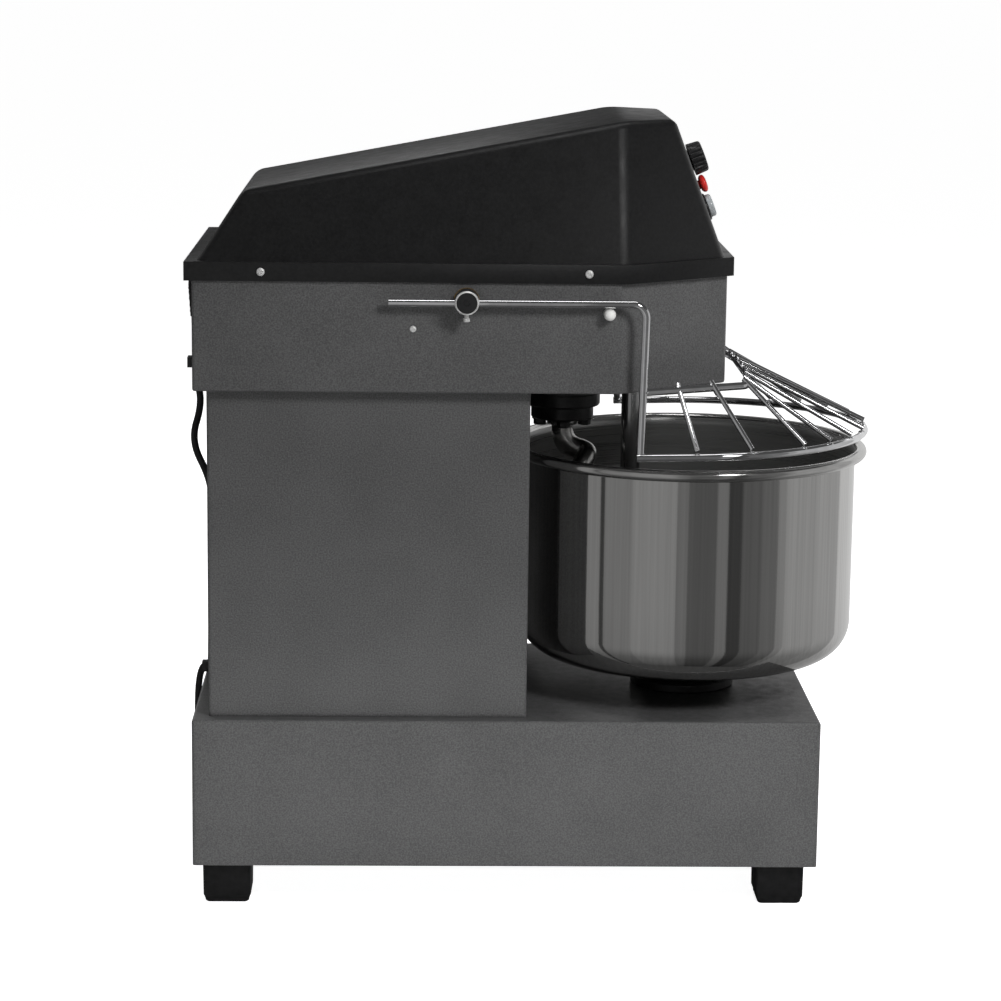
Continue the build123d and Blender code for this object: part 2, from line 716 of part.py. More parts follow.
def guard_frame():
    """The upper frame: two side bars and the bowed front bar, bent from one rod."""
    points = [
        (LEG_AT + 3.0, -ARM_Y + 1.0, FRAME_Z), (FRONT_BAR_AT, -FRONT_BAR_HALF, FRAME_Z),
        (front_bar_at(60), -60, FRAME_Z), (front_bar_at(60), 60, FRAME_Z),
        (FRONT_BAR_AT, FRONT_BAR_HALF, FRAME_Z), (LEG_AT + 3.0, ARM_Y - 1.0, FRAME_Z),
    ]
    return bent_rod(points, GUARD_ROD, [9, 120, 120, 9])


def guard_spokes():
    """Straight wires from the upper frame out to the hoop."""
    lift = (GUARD_ROD + SPOKE) / 2 + 0.1
    shapes = []
    for top_y, low_y in ((0, 0), (38, 57), (79, 97), (117, 131), (131, 157)):
        low_at = BOWL_AT + math.sqrt(HOOP_RADIUS**2 - low_y**2)
        top = (front_bar_at(top_y) - 3, -top_y, FRAME_Z + lift)
        low = (low_at + 1, -low_y, hoop_z(low_at) + lift)
        spoke = straight_rod(top, low, SPOKE)
        shapes += pair(spoke) if top_y else [spoke]
    for top_at, low_at in ((497.0, 517.0), (533.0, 574.0)):
        low_y = math.sqrt(HOOP_RADIUS**2 - max(0.0, low_at - BOWL_AT) ** 2)
        top = (top_at, 2.0 - frame_half(top_at), FRAME_Z + lift)
        shapes += pair(straight_rod(top, (low_at, -low_y - 1, hoop_z(low_at) + lift), SPOKE))
    return shapes


def pivot_bar(radius):
    return across(PIVOT_AT, -182.5, 182.5, PIVOT_Z, radius)


def guard_shaft():
    """The guard's shaft, with a short arm that carries the interlock's magnet."""
    return pivot_bar(8) + block(PIVOT_AT - 10, PIVOT_AT + 10, -136, -124, 606, PIVOT_Z + 10)


def guard_hubs():
    """The two hubs that clamp the arms to the shaft's ends, with their clamp screws."""
    hub = across(PIVOT_AT, -202, -177, PIVOT_Z, 12.3) - pivot_bar(8)
    hub -= along(200, 400, -ARM_Y, 639.5, GUARD_ROD / 2)
    screw = post(PIVOT_AT, 621.5, 628.0, 3.4, -192.5)
    return pair(hub) + pair(screw)


def guard_bushes():
    """Plain bushes in the head's side walls."""
    bush = across(PIVOT_AT, -176, -170, PIVOT_Z, 13) + across(PIVOT_AT, -172.4, -168, PIVOT_Z, 17)
    return pair(bush - across(PIVOT_AT, -180, -160, PIVOT_Z, 8 + FIT))


def guard_stops():
    """Nylon pegs on the head's sides that the arms rest on."""
    peg = across(426, -191, -HEAD_HALF, 628.7, 6.2)
    return pair(fillet(peg.edges().sort_by(Axis.Y)[0], 3))


def interlock_switch():
    body = block(PIVOT_AT - 14, PIVOT_AT + 14, -158, -139, 600, 632)
    return body + block(PIVOT_AT - 14, PIVOT_AT + 14, -158, -154, HEAD_Z + SHEET, 602)


# ---------------------------------------------------------------------------
# Mains lead: relief, holders, cord, coil, tie and plug
# ---------------------------------------------------------------------------
RELIEF_Z = 646.0
CORD_ROUTE = [
    (-6.5, 0, 600), (-5.9, 0, 571), (-4.1, 0, 531), (0.5, -2, 505), (-11.5, -6, 466), (10.5, -14, 425),
    (12.3, -22, 390), (12.0, -31, 350), (12.4, -37, 312), (12.2, -43.6, 280), (12.0, -45.6, 250.6),
    (10.8, -34.4, 228.8), (8.4, -13.5, 216), (8.0, 13.5, 216), (3, 33, 212), (-6.5, 51, 200),
    (-11, 67, 176), (-13, 84, 142), (-14, 104, 108), (-14, 128, 78), (-11, 154, 55), (-2, 181, 34),
    (8, 206, 15), (14.5, 229, 5.2), (17.5, 248, 4.5), (18.6, 266, 4.65),
]
TAIL_ROUTE = [(80, 302, 12.3), (99, 303.6, 13), (120, 300.8, 15.6), (140, 299.6, 17.8)]


def strain_relief():
    """The elbow that brings the lead out of the head's rear and turns it down."""
    centre = (x(-6.5), 0, RELIEF_Z)
    body = along(-6.5, 12, 0, RELIEF_Z, 6.8) + along(HEAD_REAR - 3, HEAD_REAR, 0, RELIEF_Z, 10.5)
    body += along(HEAD_REAR, 12, 0, RELIEF_Z, 8) + Pos(*centre) * Sphere(6.8)
    return body + Pos(x(-6.5), 0, (RELIEF_Z + 600) / 2) * Cone(4.7, 6.8, RELIEF_Z - 600)


def cord_holders():
    """Two moulded holders: one on the head's rear, one low on the rear cover."""
    upper = block(HEAD_REAR - HOLDER_DEPTH, HEAD_REAR, -8, 8, 545.9, 556.9)
    upper -= post(HEAD_REAR - HOLDER_HOLE, 500, 600, CORD / 2 + 0.3)
    lower = block(COLUMN_REAR - HOLDER_DEPTH, COLUMN_REAR, -5.5, 5.5, 210.5, 221.5)
    lower += block(COLUMN_REAR - 4, COLUMN_REAR, -5.5, 5.5, 221.5, 236)
    lower -= across(COLUMN_REAR - HOLDER_HOLE, -20, 20, 216, CORD / 2 + 0.3)
    return [upper, lower]


def cord_tube(points):
    print("cord radii", [round(r) for r in arc_radii(points)])
    return bent_rod(points, CORD, arc_radii(points))


def cord_coil():
    """The outer shape of the wound-up length: a ring with a domed top."""
    profile = [
        (COIL_INNER + 2.5, COIL_Z0), (COIL_OUTER - 2.5, COIL_Z0), (COIL_OUTER, COIL_Z0 + 2.5),
        (COIL_OUTER, COIL_Z1 - 2.5), (COIL_OUTER - 2.5, COIL_Z1), (COIL_INNER + 2.5, COIL_Z1),
        (COIL_INNER, COIL_Z1 - 2.5), (COIL_INNER, COIL_Z0 + 2.5),
    ]
    return turned(COIL_AT[0], profile, COIL_AT[1])


def cord_tie():
    """A strap around the coil's section."""
    middle = COIL_AT[1] - (COIL_INNER + COIL_OUTER) / 2
    half = (COIL_OUTER - COIL_INNER) / 2
    at = COIL_AT[0]
    outer = block(at - 3, at + 3, middle - half - 1.2, middle + half + 1.2, COIL_Z0 - 0.8, COIL_Z1 + 0.9)
    return outer - cord_coil() - block(at - 4, at + 4, middle - half, middle + half, COIL_Z0, COIL_Z1)


def mains_plug():
    """A moulded two-pin plug lying beside the coil."""
    start, y, z = TAIL_ROUTE[-1]
    body = Pos(x(start + 13), y, z) * Rot(0, 90, 0) * Cone(5.2, 8, 26)
    body += along(start + 26, start + 60, y, z, 17.6) + along(start + 60, start + 64, y, z, 15)
    pins = [along(start + 62, start + 83, y + side, z, 2.4) for side in (-9.5, 9.5)]
    return [body + pins[0] + pins[1]]


# ---------------------------------------------------------------------------
# Write every piece
# ---------------------------------------------------------------------------
save("base_housing", base_housing())
save("base_frame", base_floor(), *base_rails())
save("feet", *feet())
save("foot_bolts", *foot_bolts())
save("column_shell", column_shell())
save("column_front", column_front())
save("rear_cover", rear_cover())
save("head_housing", head_housing())
save("hood", hood())
save("control_plate", control_plate())
save("timer_body", timer_body())
save("timer_knob", timer_knob())
save("push_switches", *push_switches())
save("stop_button", stop_button())
save("start_button", start_button())
save("cover_screws", *cover_screws())
save("contactor_box", contactor_box())

save("bowl_wall", bowl_wall())
save("bowl_base", bowl_base())
save("bowl_rim", bowl_rim())
save("bowl_spindle", bowl_spindle())
save("bowl_screws", *bowl_screws())
save("bowl_sprocket", sprocket(BOWL_AT, BOWL_TEETH, LOWER_CHAIN_Z, 15, 30))
save("bowl_housing", bowl_housing())
save("spiral_hook", spiral_hook())
save("spiral_sprocket", sprocket(SPIRAL_AT, SPIRAL_TEETH, HEAD_CHAIN_Z, 12.5, 22))
save("spiral_housing", spiral_housing())
save("housing_bolts", *housing_bolts())
save("ball_bearings", *ball_bearings())
save("breaker_bar", breaker_bar())

save("motor_housing", motor_housing())
save("motor_mount", motor_mount())
save("motor_rotor", motor_rotor())
save("motor_pulley", pulley(MOTOR_AT, SMALL_PULLEY, 9.5))
save("drive_belt", drive_belt())
save("jack_pulley", big_pulley())
save("jack_shaft", jack_shaft())
save("jack_sprockets", *jack_sprockets())
save("idler_shaft", idler_shaft())
save("idler_sprockets", *idler_sprockets())
save("shaft_bearings", *shaft_bearings())
save("spiral_chain", chain(JACK_AT, JACK_TEETH, SPIRAL_AT, SPIRAL_TEETH, HEAD_CHAIN_Z))
save("idler_chain", chain(IDLER_AT, IDLER_TEETH, JACK_AT, JACK_TEETH, UPPER_CHAIN_Z))
save("bowl_chain", chain(IDLER_AT, JACK_TEETH, BOWL_AT, BOWL_TEETH, LOWER_CHAIN_Z))

save("guard_arms", *pair(guard_arm()))
save("guard_hoop", guard_hoop())
save("guard_frame", guard_frame())
save("guard_spokes", *guard_spokes())
save("guard_shaft", guard_shaft())
save("guard_hubs", *guard_hubs())
save("guard_bushes", *guard_bushes())
save("guard_stops", *guard_stops())
save("interlock_switch", interlock_switch())

save("strain_relief", strain_relief())
save("cord_holders", *cord_holders())
save("mains_cord", cord_tube(CORD_ROUTE))
save("mains_cord_coil", cord_coil())
save("mains_cord_tail", cord_tube(TAIL_ROUTE))
save("cord_tie", cord_tie())
save("mains_plug", *mains_plug())
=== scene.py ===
import bmesh
import bpy
import math
from mathutils import Matrix, Vector


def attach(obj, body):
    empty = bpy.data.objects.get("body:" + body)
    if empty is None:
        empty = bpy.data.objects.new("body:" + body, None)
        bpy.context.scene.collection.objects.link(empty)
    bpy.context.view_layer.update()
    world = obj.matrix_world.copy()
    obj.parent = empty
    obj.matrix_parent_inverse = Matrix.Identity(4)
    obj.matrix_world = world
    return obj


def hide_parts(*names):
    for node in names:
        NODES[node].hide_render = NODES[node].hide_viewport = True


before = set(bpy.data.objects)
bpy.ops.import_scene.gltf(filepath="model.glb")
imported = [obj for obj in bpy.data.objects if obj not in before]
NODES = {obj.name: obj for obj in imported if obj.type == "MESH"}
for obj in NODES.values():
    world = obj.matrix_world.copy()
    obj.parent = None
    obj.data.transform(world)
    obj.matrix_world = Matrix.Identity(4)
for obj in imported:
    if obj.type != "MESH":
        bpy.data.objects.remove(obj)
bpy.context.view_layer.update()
REAR = -0.35155  # row X of the base's rear face, where the stations along X begin


def at(station, y, z):
    """A point in the row frame, in metres, from a station, y and z in millimetres."""
    return Vector((REAR + station / 1000, y / 1000, z / 1000))


# ---------------------------------------------------------------------------
# Camera
# ---------------------------------------------------------------------------
def make_camera():
    yaw, pitch, roll = math.radians(1.553), math.radians(10.849), math.radians(0.667)
    look = Vector((math.sin(yaw) * math.cos(pitch), math.cos(yaw) * math.cos(pitch), -math.sin(pitch)))
    level = Vector((math.cos(yaw), -math.sin(yaw), 0))
    upward = level.cross(look)
    right = level * math.cos(roll) + upward * math.sin(roll)
    up = upward * math.cos(roll) - level * math.sin(roll)
    camera = bpy.data.objects.new("camera", bpy.data.cameras.new("camera"))
    bpy.context.scene.collection.objects.link(camera)
    camera.data.lens = 106.47
    camera.data.sensor_width = 36
    camera.data.clip_end = 100
    camera.matrix_world = Matrix.Translation((-0.1144, -3.1513, 1.0059)) @ Matrix((right, up,
        -look)).transposed().to_4x4()
    bpy.context.scene.camera = camera


make_camera()


# ---------------------------------------------------------------------------
# Mesh helpers
# ---------------------------------------------------------------------------
def piece(name, mesh, body):
    obj = bpy.data.objects.new(name, mesh)
    bpy.context.scene.collection.objects.link(obj)
    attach(obj, body)
    return obj


def nurbs_cord(name, points, radius):
    """A round cord along a smooth NURBS curve with these control points."""
    curve = bpy.data.curves.new(name, "CURVE")
    curve.dimensions = "3D"
    spline = curve.splines.new("NURBS")
    spline.points.add(len(points) - 1)
    for point, place in zip(spline.points, points):
        point.co = (*place, 1)
        point.radius = radius
    spline.order_u = 3
    spline.use_endpoint_u = True
    spline.resolution_u = 8
    curve.bevel_depth = 1  # each point's own radius is the tube's
    curve.bevel_resolution = 4
    curve.use_fill_caps = True
    return curve


# ---------------------------------------------------------------------------
# Mains lead
# ---------------------------------------------------------------------------
LEAD_DOWN = [
    (-6.5, 0, 600), (-5.9, 0, 571), (-4.1, 0, 531), (0.5, -2, 505), (-11.5, -6, 466), (10.5, -14, 425),
    (12.3, -22, 390), (12.0, -31, 350), (12.4, -37, 312), (12.2, -43.6, 280), (12.0, -45.6, 250.6),
    (10.8, -34.4, 228.8), (8.4, -13.5, 216), (8.0, 13.5, 216), (3, 33, 212), (-6.5, 51, 200),
    (-11, 67, 176), (-13, 84, 142), (-14, 104, 108), (-14, 128, 78), (-11, 154, 55), (-2, 181, 34),
    (8, 206, 15), (14.5, 229, 5.2), (17.5, 248, 4.5), (18.6, 266, 4.65),
]
LEAD_END = [(80, 302, 12.3), (99, 303.6, 13), (120, 300.8, 15.6), (140, 299.6, 17.8)]
COIL_MIDDLE = (62.0, 258.0)


def blend_between(value, start, end, low, high):
    """Eases from low to high as value goes from start to end."""
    share = min(1.0, max(0.0, (value - start) / (end - start)))
    return low + (high - low) * share * share * (3 - 2 * share)


def coil_points():
    """The wound-up turns: out to in on the floor, up, and in to out on top."""
    points = []
    travelled = 22.5
    while travelled < 1150:
        radius = blend_between(travelled, 280, 325, 45.3, 37.8)
        radius = blend_between(travelled, 905, 950, radius, 45.3)
        z = blend_between(travelled, 590, 635, 4.65, 12.15)
        angle = math.radians(169.5 - travelled)
        points.append((COIL_MIDDLE[0] + radius * math.cos(angle), COIL_MIDDLE[1] + radius * math.sin(angle),
            z))
        travelled += 22.5
    return points


lead_points = [at(*p) for p in LEAD_DOWN + coil_points() + LEAD_END]
lead = piece("mains_lead", nurbs_cord("mains_lead", lead_points, 0.00375), "machine")
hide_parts("mains_cord", "mains_cord_coil", "mains_cord_tail")


# ---------------------------------------------------------------------------
# Materials
# ---------------------------------------------------------------------------
class Finish:
    """A procedural material whose textures lie in the row frame, in metres."""

    def __init__(self, name, color, roughness, metallic=0.0, specular=0.5, coat=0.0, coat_roughness=0.1):
        self.mat = bpy.data.materials.new(name)
        self.mat.use_nodes = True
        self.nodes = self.mat.node_tree.nodes
        self.links = self.mat.node_tree.links
        self.shader = self.nodes["Principled BSDF"]
        self.shader.inputs["Base Color"].default_value = (*color, 1)
        self.shader.inputs["Roughness"].default_value = roughness
        self.shader.inputs["Metallic"].default_value = metallic
        self.shader.inputs["Specular IOR Level"].default_value = specular
        self.shader.inputs["Coat Weight"].default_value = coat
        self.shader.inputs["Coat Roughness"].default_value = coat_roughness
        self.place = self.nodes.new("ShaderNodeTexCoord").outputs["Object"]
        self.height = None

    def stretched(self, sx, sy, sz):
        """Texture coordinates scaled along each axis."""
        mapping = self.nodes.new("ShaderNodeMapping")
        mapping.inputs["Scale"].default_value = (sx, sy, sz)
        self.links.new(self.place, mapping.inputs["Vector"])
        return mapping.outputs["Vector"]

    def noise(self, scale, detail=3.0, vector=None):
        node = self.nodes.new("ShaderNodeTexNoise")
        node.inputs["Scale"].default_value = scale
        node.inputs["Detail"].default_value = detail
        self.links.new(vector or self.place, node.inputs["Vector"])
        return node.outputs["Fac"]

    def spread(self, value, low, high, start=0.3, end=0.7):
        """Maps a texture's middle range to low..high."""
        node = self.nodes.new("ShaderNodeMapRange")
        node.inputs["From Min"].default_value = start
        node.inputs["From Max"].default_value = end
        node.inputs["To Min"].default_value = low
        node.inputs["To Max"].default_value = high
        self.links.new(value, node.inputs["Value"])
        return node.outputs["Result"]

    def tint(self, value, low, high, start=0.3, end=0.7):
        """Colour that goes from low to high with a texture."""
        ramp = self.nodes.new("ShaderNodeValToRGB")
        ramp.color_ramp.elements[0].position = start
        ramp.color_ramp.elements[0].color = (*low, 1)
        ramp.color_ramp.elements[1].position = end
        ramp.color_ramp.elements[1].color = (*high, 1)
        self.links.new(value, ramp.inputs["Fac"])
        self.links.new(ramp.outputs["Color"], self.shader.inputs["Base Color"])
        return self

    def total(self, a, b):
        node = self.nodes.new("ShaderNodeMath")
        node.operation = "ADD"
        self.links.new(a, node.inputs[0])
        self.links.new(b, node.inputs[1])
        return node.outputs["Value"]

    def gloss(self, value, low, high):
        self.links.new(self.spread(value, low, high), self.shader.inputs["Roughness"])
        return self

    def bump(self, value, strength, distance):
        node = self.nodes.new("ShaderNodeBump")
        node.inputs["Strength"].default_value = strength
        node.inputs["Distance"].default_value = distance
        self.links.new(value, node.inputs["Height"])
        if self.height is not None:
            self.links.new(self.height, node.inputs["Normal"])
        self.height = node.outputs["Normal"]
        self.links.new(self.height, self.shader.inputs["Normal"])
        return self


def hammered_paint():
    finish = Finish("hammered_paint", (0.09, 0.09, 0.092), 0.42, specular=0.5)
    grain = finish.noise(620, 3)
    cloud = finish.noise(14, 2)
    speck = finish.noise(1500, 1)
    mixed = finish.total(finish.spread(grain, 0, 0.85), finish.spread(cloud, 0, 0.15))
    finish.tint(mixed, (0.058, 0.058, 0.0585), (0.112, 0.112, 0.113), 0.15, 0.85)
    finish.gloss(finish.noise(90, 3), 0.36, 0.48)
    finish.bump(grain, 0.6, 0.0002)
    return finish.bump(speck, 0.3, 0.0001).mat


def grained_plastic():
    finish = Finish("grained_plastic", (0.007, 0.007, 0.0073), 0.4, specular=0.4)
    grain = finish.noise(1100, 4)
    finish.tint(finish.noise(300, 4), (0.0048, 0.0048, 0.005), (0.0092, 0.0092, 0.0095))
    finish.gloss(finish.noise(60, 3), 0.35, 0.44)
    return finish.bump(grain, 0.5, 0.00016).mat


def plastic(name, color, roughness, grain_scale=900, spread=0.18, specular=0.5, coat=0.0):
    finish = Finish(name, color, roughness, specular=specular, coat=coat)
    low = tuple(c * (1 - spread) for c in color)
    high = tuple(min(1.0, c * (1 + spread)) for c in color)
    finish.tint(finish.noise(grain_scale * 0.2, 4), low, high)
    finish.gloss(finish.noise(120, 3), roughness * 0.85, roughness * 1.15)
    return finish.bump(finish.noise(grain_scale, 3), 0.3, 0.0001).mat


def moulded_rubber(name, color):
    finish = Finish(name, color, 0.62, specular=0.35)
    low = tuple(c * 0.7 for c in color)
    high = tuple(c * 1.35 for c in color)
    finish.tint(finish.noise(160, 5), low, high)
    finish.gloss(finish.noise(50, 3), 0.52, 0.72)
    return finish.bump(finish.noise(1300, 4), 0.45, 0.00015).mat


def polished_steel(name, color, roughness, sx, sy, sz, relief, metallic=1.0):
    """Steel with fine lines that run along its least stretched axis."""
    finish = Finish(name, color, roughness, metallic=metallic)
    lines = finish.noise(1.0, 6, finish.stretched(sx, sy, sz))
    low = tuple(c * 0.9 for c in color)
    high = tuple(min(1.0, c * 1.06) for c in color)
    finish.tint(lines, low, high)
    finish.gloss(lines, roughness * 0.7, roughness * 1.3)
    return finish.bump(lines, relief, 0.00006).mat


def machined(name, color, roughness, metallic=1.0):
    finish = Finish(name, color, roughness, metallic=metallic)
    low = tuple(c * 0.75 for c in color)
    high = tuple(min(1.0, c * 1.1) for c in color)
    finish.tint(finish.noise(120, 5), low, high)
    finish.gloss(finish.noise(260, 4), roughness * 0.75, roughness * 1.3)
    return finish.bump(finish.noise(900, 2), 0.2, 0.00006).mat


def cast_iron(name, color):
    finish = Finish(name, color, 0.42, specular=0.5)
    low = tuple(c * 0.6 for c in color)
    high = tuple(c * 1.5 for c in color)
    finish.tint(finish.noise(220, 5), low, high)
    finish.gloss(finish.noise(80, 4), 0.3, 0.5)
    finish.bump(finish.noise(420, 5), 0.6, 0.0003)
    return finish.bump(finish.noise(60, 2), 0.3, 0.0006).mat


PAINT = hammered_paint()
HOOD = grained_plastic()
FOOT_RUBBER = moulded_rubber("foot_rubber", (0.0075, 0.0075, 0.0078))
CORD_RUBBER = moulded_rubber("cord_rubber", (0.013, 0.013, 0.0135))
BLACK = plastic("black_moulding", (0.011, 0.011, 0.0115), 0.34)
NYLON = plastic("nylon", (0.78, 0.78, 0.76), 0.28, spread=0.04, coat=0.3)
RED = plastic("red_moulding", (0.62, 0.025, 0.02), 0.3, spread=0.08, coat=0.4)
LENS = plastic("grey_cap", (0.34, 0.36, 0.37), 0.25, spread=0.06, coat=0.5)
MARK = plastic("white_mark", (0.75, 0.75, 0.74), 0.45, spread=0.05)
CAST = cast_iron("black_casting", (0.014, 0.014, 0.0145))
CHROME = polished_steel("chrome", (0.86, 0.86, 0.87), 0.06, 90, 90, 90, 0.05)
BOWL_OUT = polished_steel("bowl_outside", (0.56, 0.555, 0.545), 0.07, 260, 260, 3, 0.03)
BOWL_IN = polished_steel("bowl_inside", (0.31, 0.31, 0.306), 0.32, 5, 5, 900, 0.3, metallic=0.8)
RIM_STEEL = polished_steel("bowl_rim", (0.6, 0.595, 0.585), 0.16, 60, 60, 700, 0.15)
HOOK_STEEL = polished_steel("hook_steel", (0.42, 0.415, 0.405), 0.2, 60, 60, 60, 0.3)
BAR_STEEL = polished_steel("breaker_steel", (0.4, 0.4, 0.4), 0.16, 300, 300, 8, 0.15)
ZINC = machined("zinc_plate", (0.62, 0.63, 0.64), 0.3)
BRIGHT_ZINC = machined("screw_zinc", (0.88, 0.88, 0.87), 0.3, metallic=0.5)
STEEL = machined("machined_steel", (0.5, 0.5, 0.5), 0.28)
BRONZE = machined("bronze", (0.55, 0.38, 0.18), 0.3)
MOTOR_PAINT = cast_iron("motor_paint", (0.17, 0.18, 0.19))
SATIN_PLATE = polished_steel("panel_plate", (0.1, 0.1, 0.103), 0.34, 20, 900, 20, 0.1, metallic=0.4)

NODE_FINISH = {
    PAINT: "base_housing column_shell column_front rear_cover head_housing",
    HOOD: "hood",
    FOOT_RUBBER: "feet drive_belt strain_relief",
    CORD_RUBBER: "mains_cord mains_cord_coil mains_cord_tail",
    BLACK: "timer_body timer_knob push_switches cord_holders cord_tie mains_plug "
           "interlock_switch contactor_box",
    RED: "stop_button",
    LENS: "start_button",
    NYLON: "guard_stops",
    SATIN_PLATE: "control_plate",
    CAST: "bowl_housing spiral_housing shaft_bearings guard_hubs",
    CHROME: "guard_arms guard_hoop guard_frame guard_spokes",
    BOWL_OUT: "bowl_wall bowl_base",
    RIM_STEEL: "bowl_rim bowl_screws",
    HOOK_STEEL: "spiral_hook",
    BAR_STEEL: "breaker_bar",
    ZINC: "base_frame foot_bolts cover_screws housing_bolts motor_mount",
    BRONZE: "guard_bushes",
    MOTOR_PAINT: "motor_housing motor_pulley jack_pulley",
    STEEL: "bowl_spindle bowl_sprocket spiral_sprocket ball_bearings motor_rotor jack_shaft jack_sprockets"
    " idler_shaft idler_sprockets spiral_chain idler_chain bowl_chain guard_shaft",
}


def wear(obj, *materials):
    """Gives a piece its finishes, in slot order; clearing the slots would lose each face's own."""
    own = [face.material_index for face in obj.data.polygons] if len(materials) > 1 else []
    obj.data.materials.clear()
    for material in materials:
        obj.data.materials.append(material)
    for face, index in zip(obj.data.polygons if own else [], own):
        face.material_index = index


for finish, names in NODE_FINISH.items():
    for name in names.split():
        wear(NODES[name], finish)
wear(lead, CORD_RUBBER)


# ---------------------------------------------------------------------------
# Mesh builders
# ---------------------------------------------------------------------------
def mesh_of(name, bm, smooth=True):
    bmesh.ops.recalc_face_normals(bm, faces=bm.faces)
    mesh = bpy.data.meshes.new(name)
    bm.to_mesh(mesh)
    bm.free()
    for face in mesh.polygons:
        face.use_smooth = smooth
    return mesh


def ring_faces(bm, lower, upper, closed=True, material=0):
    count = len(lower)
    for i in range(count if closed else count - 1):
        j = (i + 1) % count
        face = bm.faces.new((lower[i], lower[j], upper[j], upper[i]))
        face.material_index = material


def lathe(name, profile, segments=96, materials=None):
    """A turned shape about the local z axis from (radius, z) points; a zero radius closes it."""
    bm = bmesh.new()
    rings = []
    for radius, z in profile:
        if radius < 1e-7:
            rings.append([bm.verts.new((0, 0, z))])
            continue
        ring = []
        for i in range(segments):
            angle = 2 * math.pi * i / segments
            ring.append(bm.verts.new((radius * math.cos(angle), radius * math.sin(angle), z)))
        rings.append(ring)
    for k, (lower, upper) in enumerate(zip(rings, rings[1:])):
        index = materials[k] if materials else 0
        if len(lower) == 1 and len(upper) == 1:
            continue
        if len(lower) == 1 or len(upper) == 1:
            tip, ring = (lower[0], upper) if len(lower) == 1 else (upper[0], lower)
            for i in range(segments):
                face = bm.faces.new((tip, ring[i], ring[(i + 1) % segments]))
                face.material_index = index
        else:
            ring_faces(bm, lower, upper, material=index)
    return mesh_of(name, bm)


def swept_tube(name, points, radii, sides=28):
    """A round bar through points, with a radius at each, and rounded-off ends."""
    spots = [Vector(p) for p in points]
    bm = bmesh.new()
    rings = []
    normal = None
    for i, spot in enumerate(spots):
        ahead = spots[min(i + 1, len(spots) - 1)] - spots[max(i - 1, 0)]
        ahead.normalize()
        if normal is None:
            normal = ahead.orthogonal().normalized()
        normal = (normal - ahead * normal.dot(ahead)).normalized()
        other = ahead.cross(normal)
        shrink = [(0.0, 1.0)]
        if i == 0:
            shrink = [(-0.0, 0.8), (0.25, 0.96), (0.55, 1.0)]
        if i == len(spots) - 1:
            shrink = [(-0.55, 1.0), (-0.25, 0.96), (0.0, 0.8)]
        for offset, factor in shrink:
            ring = []
            for k in range(sides):
                angle = 2 * math.pi * k / sides
                spoke = normal * math.cos(angle) + other * math.sin(angle)
                reach = radii[i] * factor
                ring.append(bm.verts.new(spot + ahead * offset * radii[i] * 0.5 + spoke * reach))
            rings.append(ring)
    for lower, upper in zip(rings, rings[1:]):
        ring_faces(bm, lower, upper)
    bm.faces.new(rings[0])
    bm.faces.new(rings[-1])
    return mesh_of(name, bm)


def merged(name, meshes):
    """One mesh of several (mesh, matrix) pairs."""
    bm = bmesh.new()
    for mesh, matrix in meshes:
        part = mesh.copy()
        part.transform(matrix)
        bm.from_mesh(part)
        bpy.data.meshes.remove(part)
    mesh = bpy.data.meshes.new(name)
    bm.to_mesh(mesh)
    bm.free()
    return mesh


def bevelled(name, mesh, edge_test, width, segments=4):
    """Rounds the edges that pass the test."""
    bm = bmesh.new()
    bm.from_mesh(mesh)
    edges = [e for e in bm.edges if edge_test(e)]
    bmesh.ops.bevel(bm, geom=edges, offset=width, segments=segments, profile=0.5, affect="EDGES",
                    clamp_overlap=True)
    return mesh_of(name, bm)


def facing(axis):
    """A rotation that turns local z to an axis."""
    return Vector(axis).to_track_quat("Z", "Y").to_matrix().to_4x4()


def shade_by_angle(obj, degrees):
    """Smooth shading with hard edges above an angle."""
    obj.data.set_sharp_from_angle(angle=math.radians(degrees))


# ---------------------------------------------------------------------------
# Bowl
# ---------------------------------------------------------------------------
BOWL_AT = 523.5


def at_axis(station, z=0.0, y=0.0):
    return Matrix.Translation(at(station, y, z))


def arc(centre, radius, start, end, steps):
    """Points of an arc in the (radius, z) plane, in millimetres and degrees."""
    angles = [math.radians(start + (end - start) * i / steps) for i in range(steps + 1)]
    return [(centre[0] + radius * math.cos(a), centre[1] + radius * math.sin(a)) for a in angles]


def placed(mesh, matrix):
    mesh.transform(matrix)
    return mesh


def metres(profile):
    return [(r / 1000, z / 1000) for r, z in profile]


def bowl_mesh():
    inside = [(0, 239.9), (60, 239.8), (120, 239.7)] + arc((141, 278.5), 38.8, -90, 0, 14)
    inside += [(179.8, 320), (179.8, 380), (179.8, 440), (179.8, 457), (180.1, 463)]
    rim = arc((187.3, 463.6), 6.05, 165, -115, 26)
    outside = [(181.9, 458.2), (181.1, 457.2), (181, 456.4), (181, 455.6), (181, 440), (181, 380), (181, 320)]
    outside += arc((141, 278.5), 40, 0, -90, 16)
    outside += [(133, 238.4), (131, 237.2), (128, 237), (126, 238.3), (60, 238.5), (0, 238.5)]
    profile = inside + rim + outside
    finishes = [1] * len(inside) + [2] * (len(rim) - 1) + [0] * len(outside)
    return placed(lathe("bowl", metres(profile), 192, finishes), at_axis(BOWL_AT))


bowl = piece("bowl", bowl_mesh(), "bowl")
wear(bowl, BOWL_OUT, BOWL_IN, RIM_STEEL)
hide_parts("bowl_wall", "bowl_base", "bowl_rim")

# ---------------------------------------------------------------------------
# Hood and head
# ---------------------------------------------------------------------------
def nosed(rear, half, start, front, nose):
    return [(rear, -half), (start, -half), (front, -nose), (front, nose), (start, half), (rear, half)]


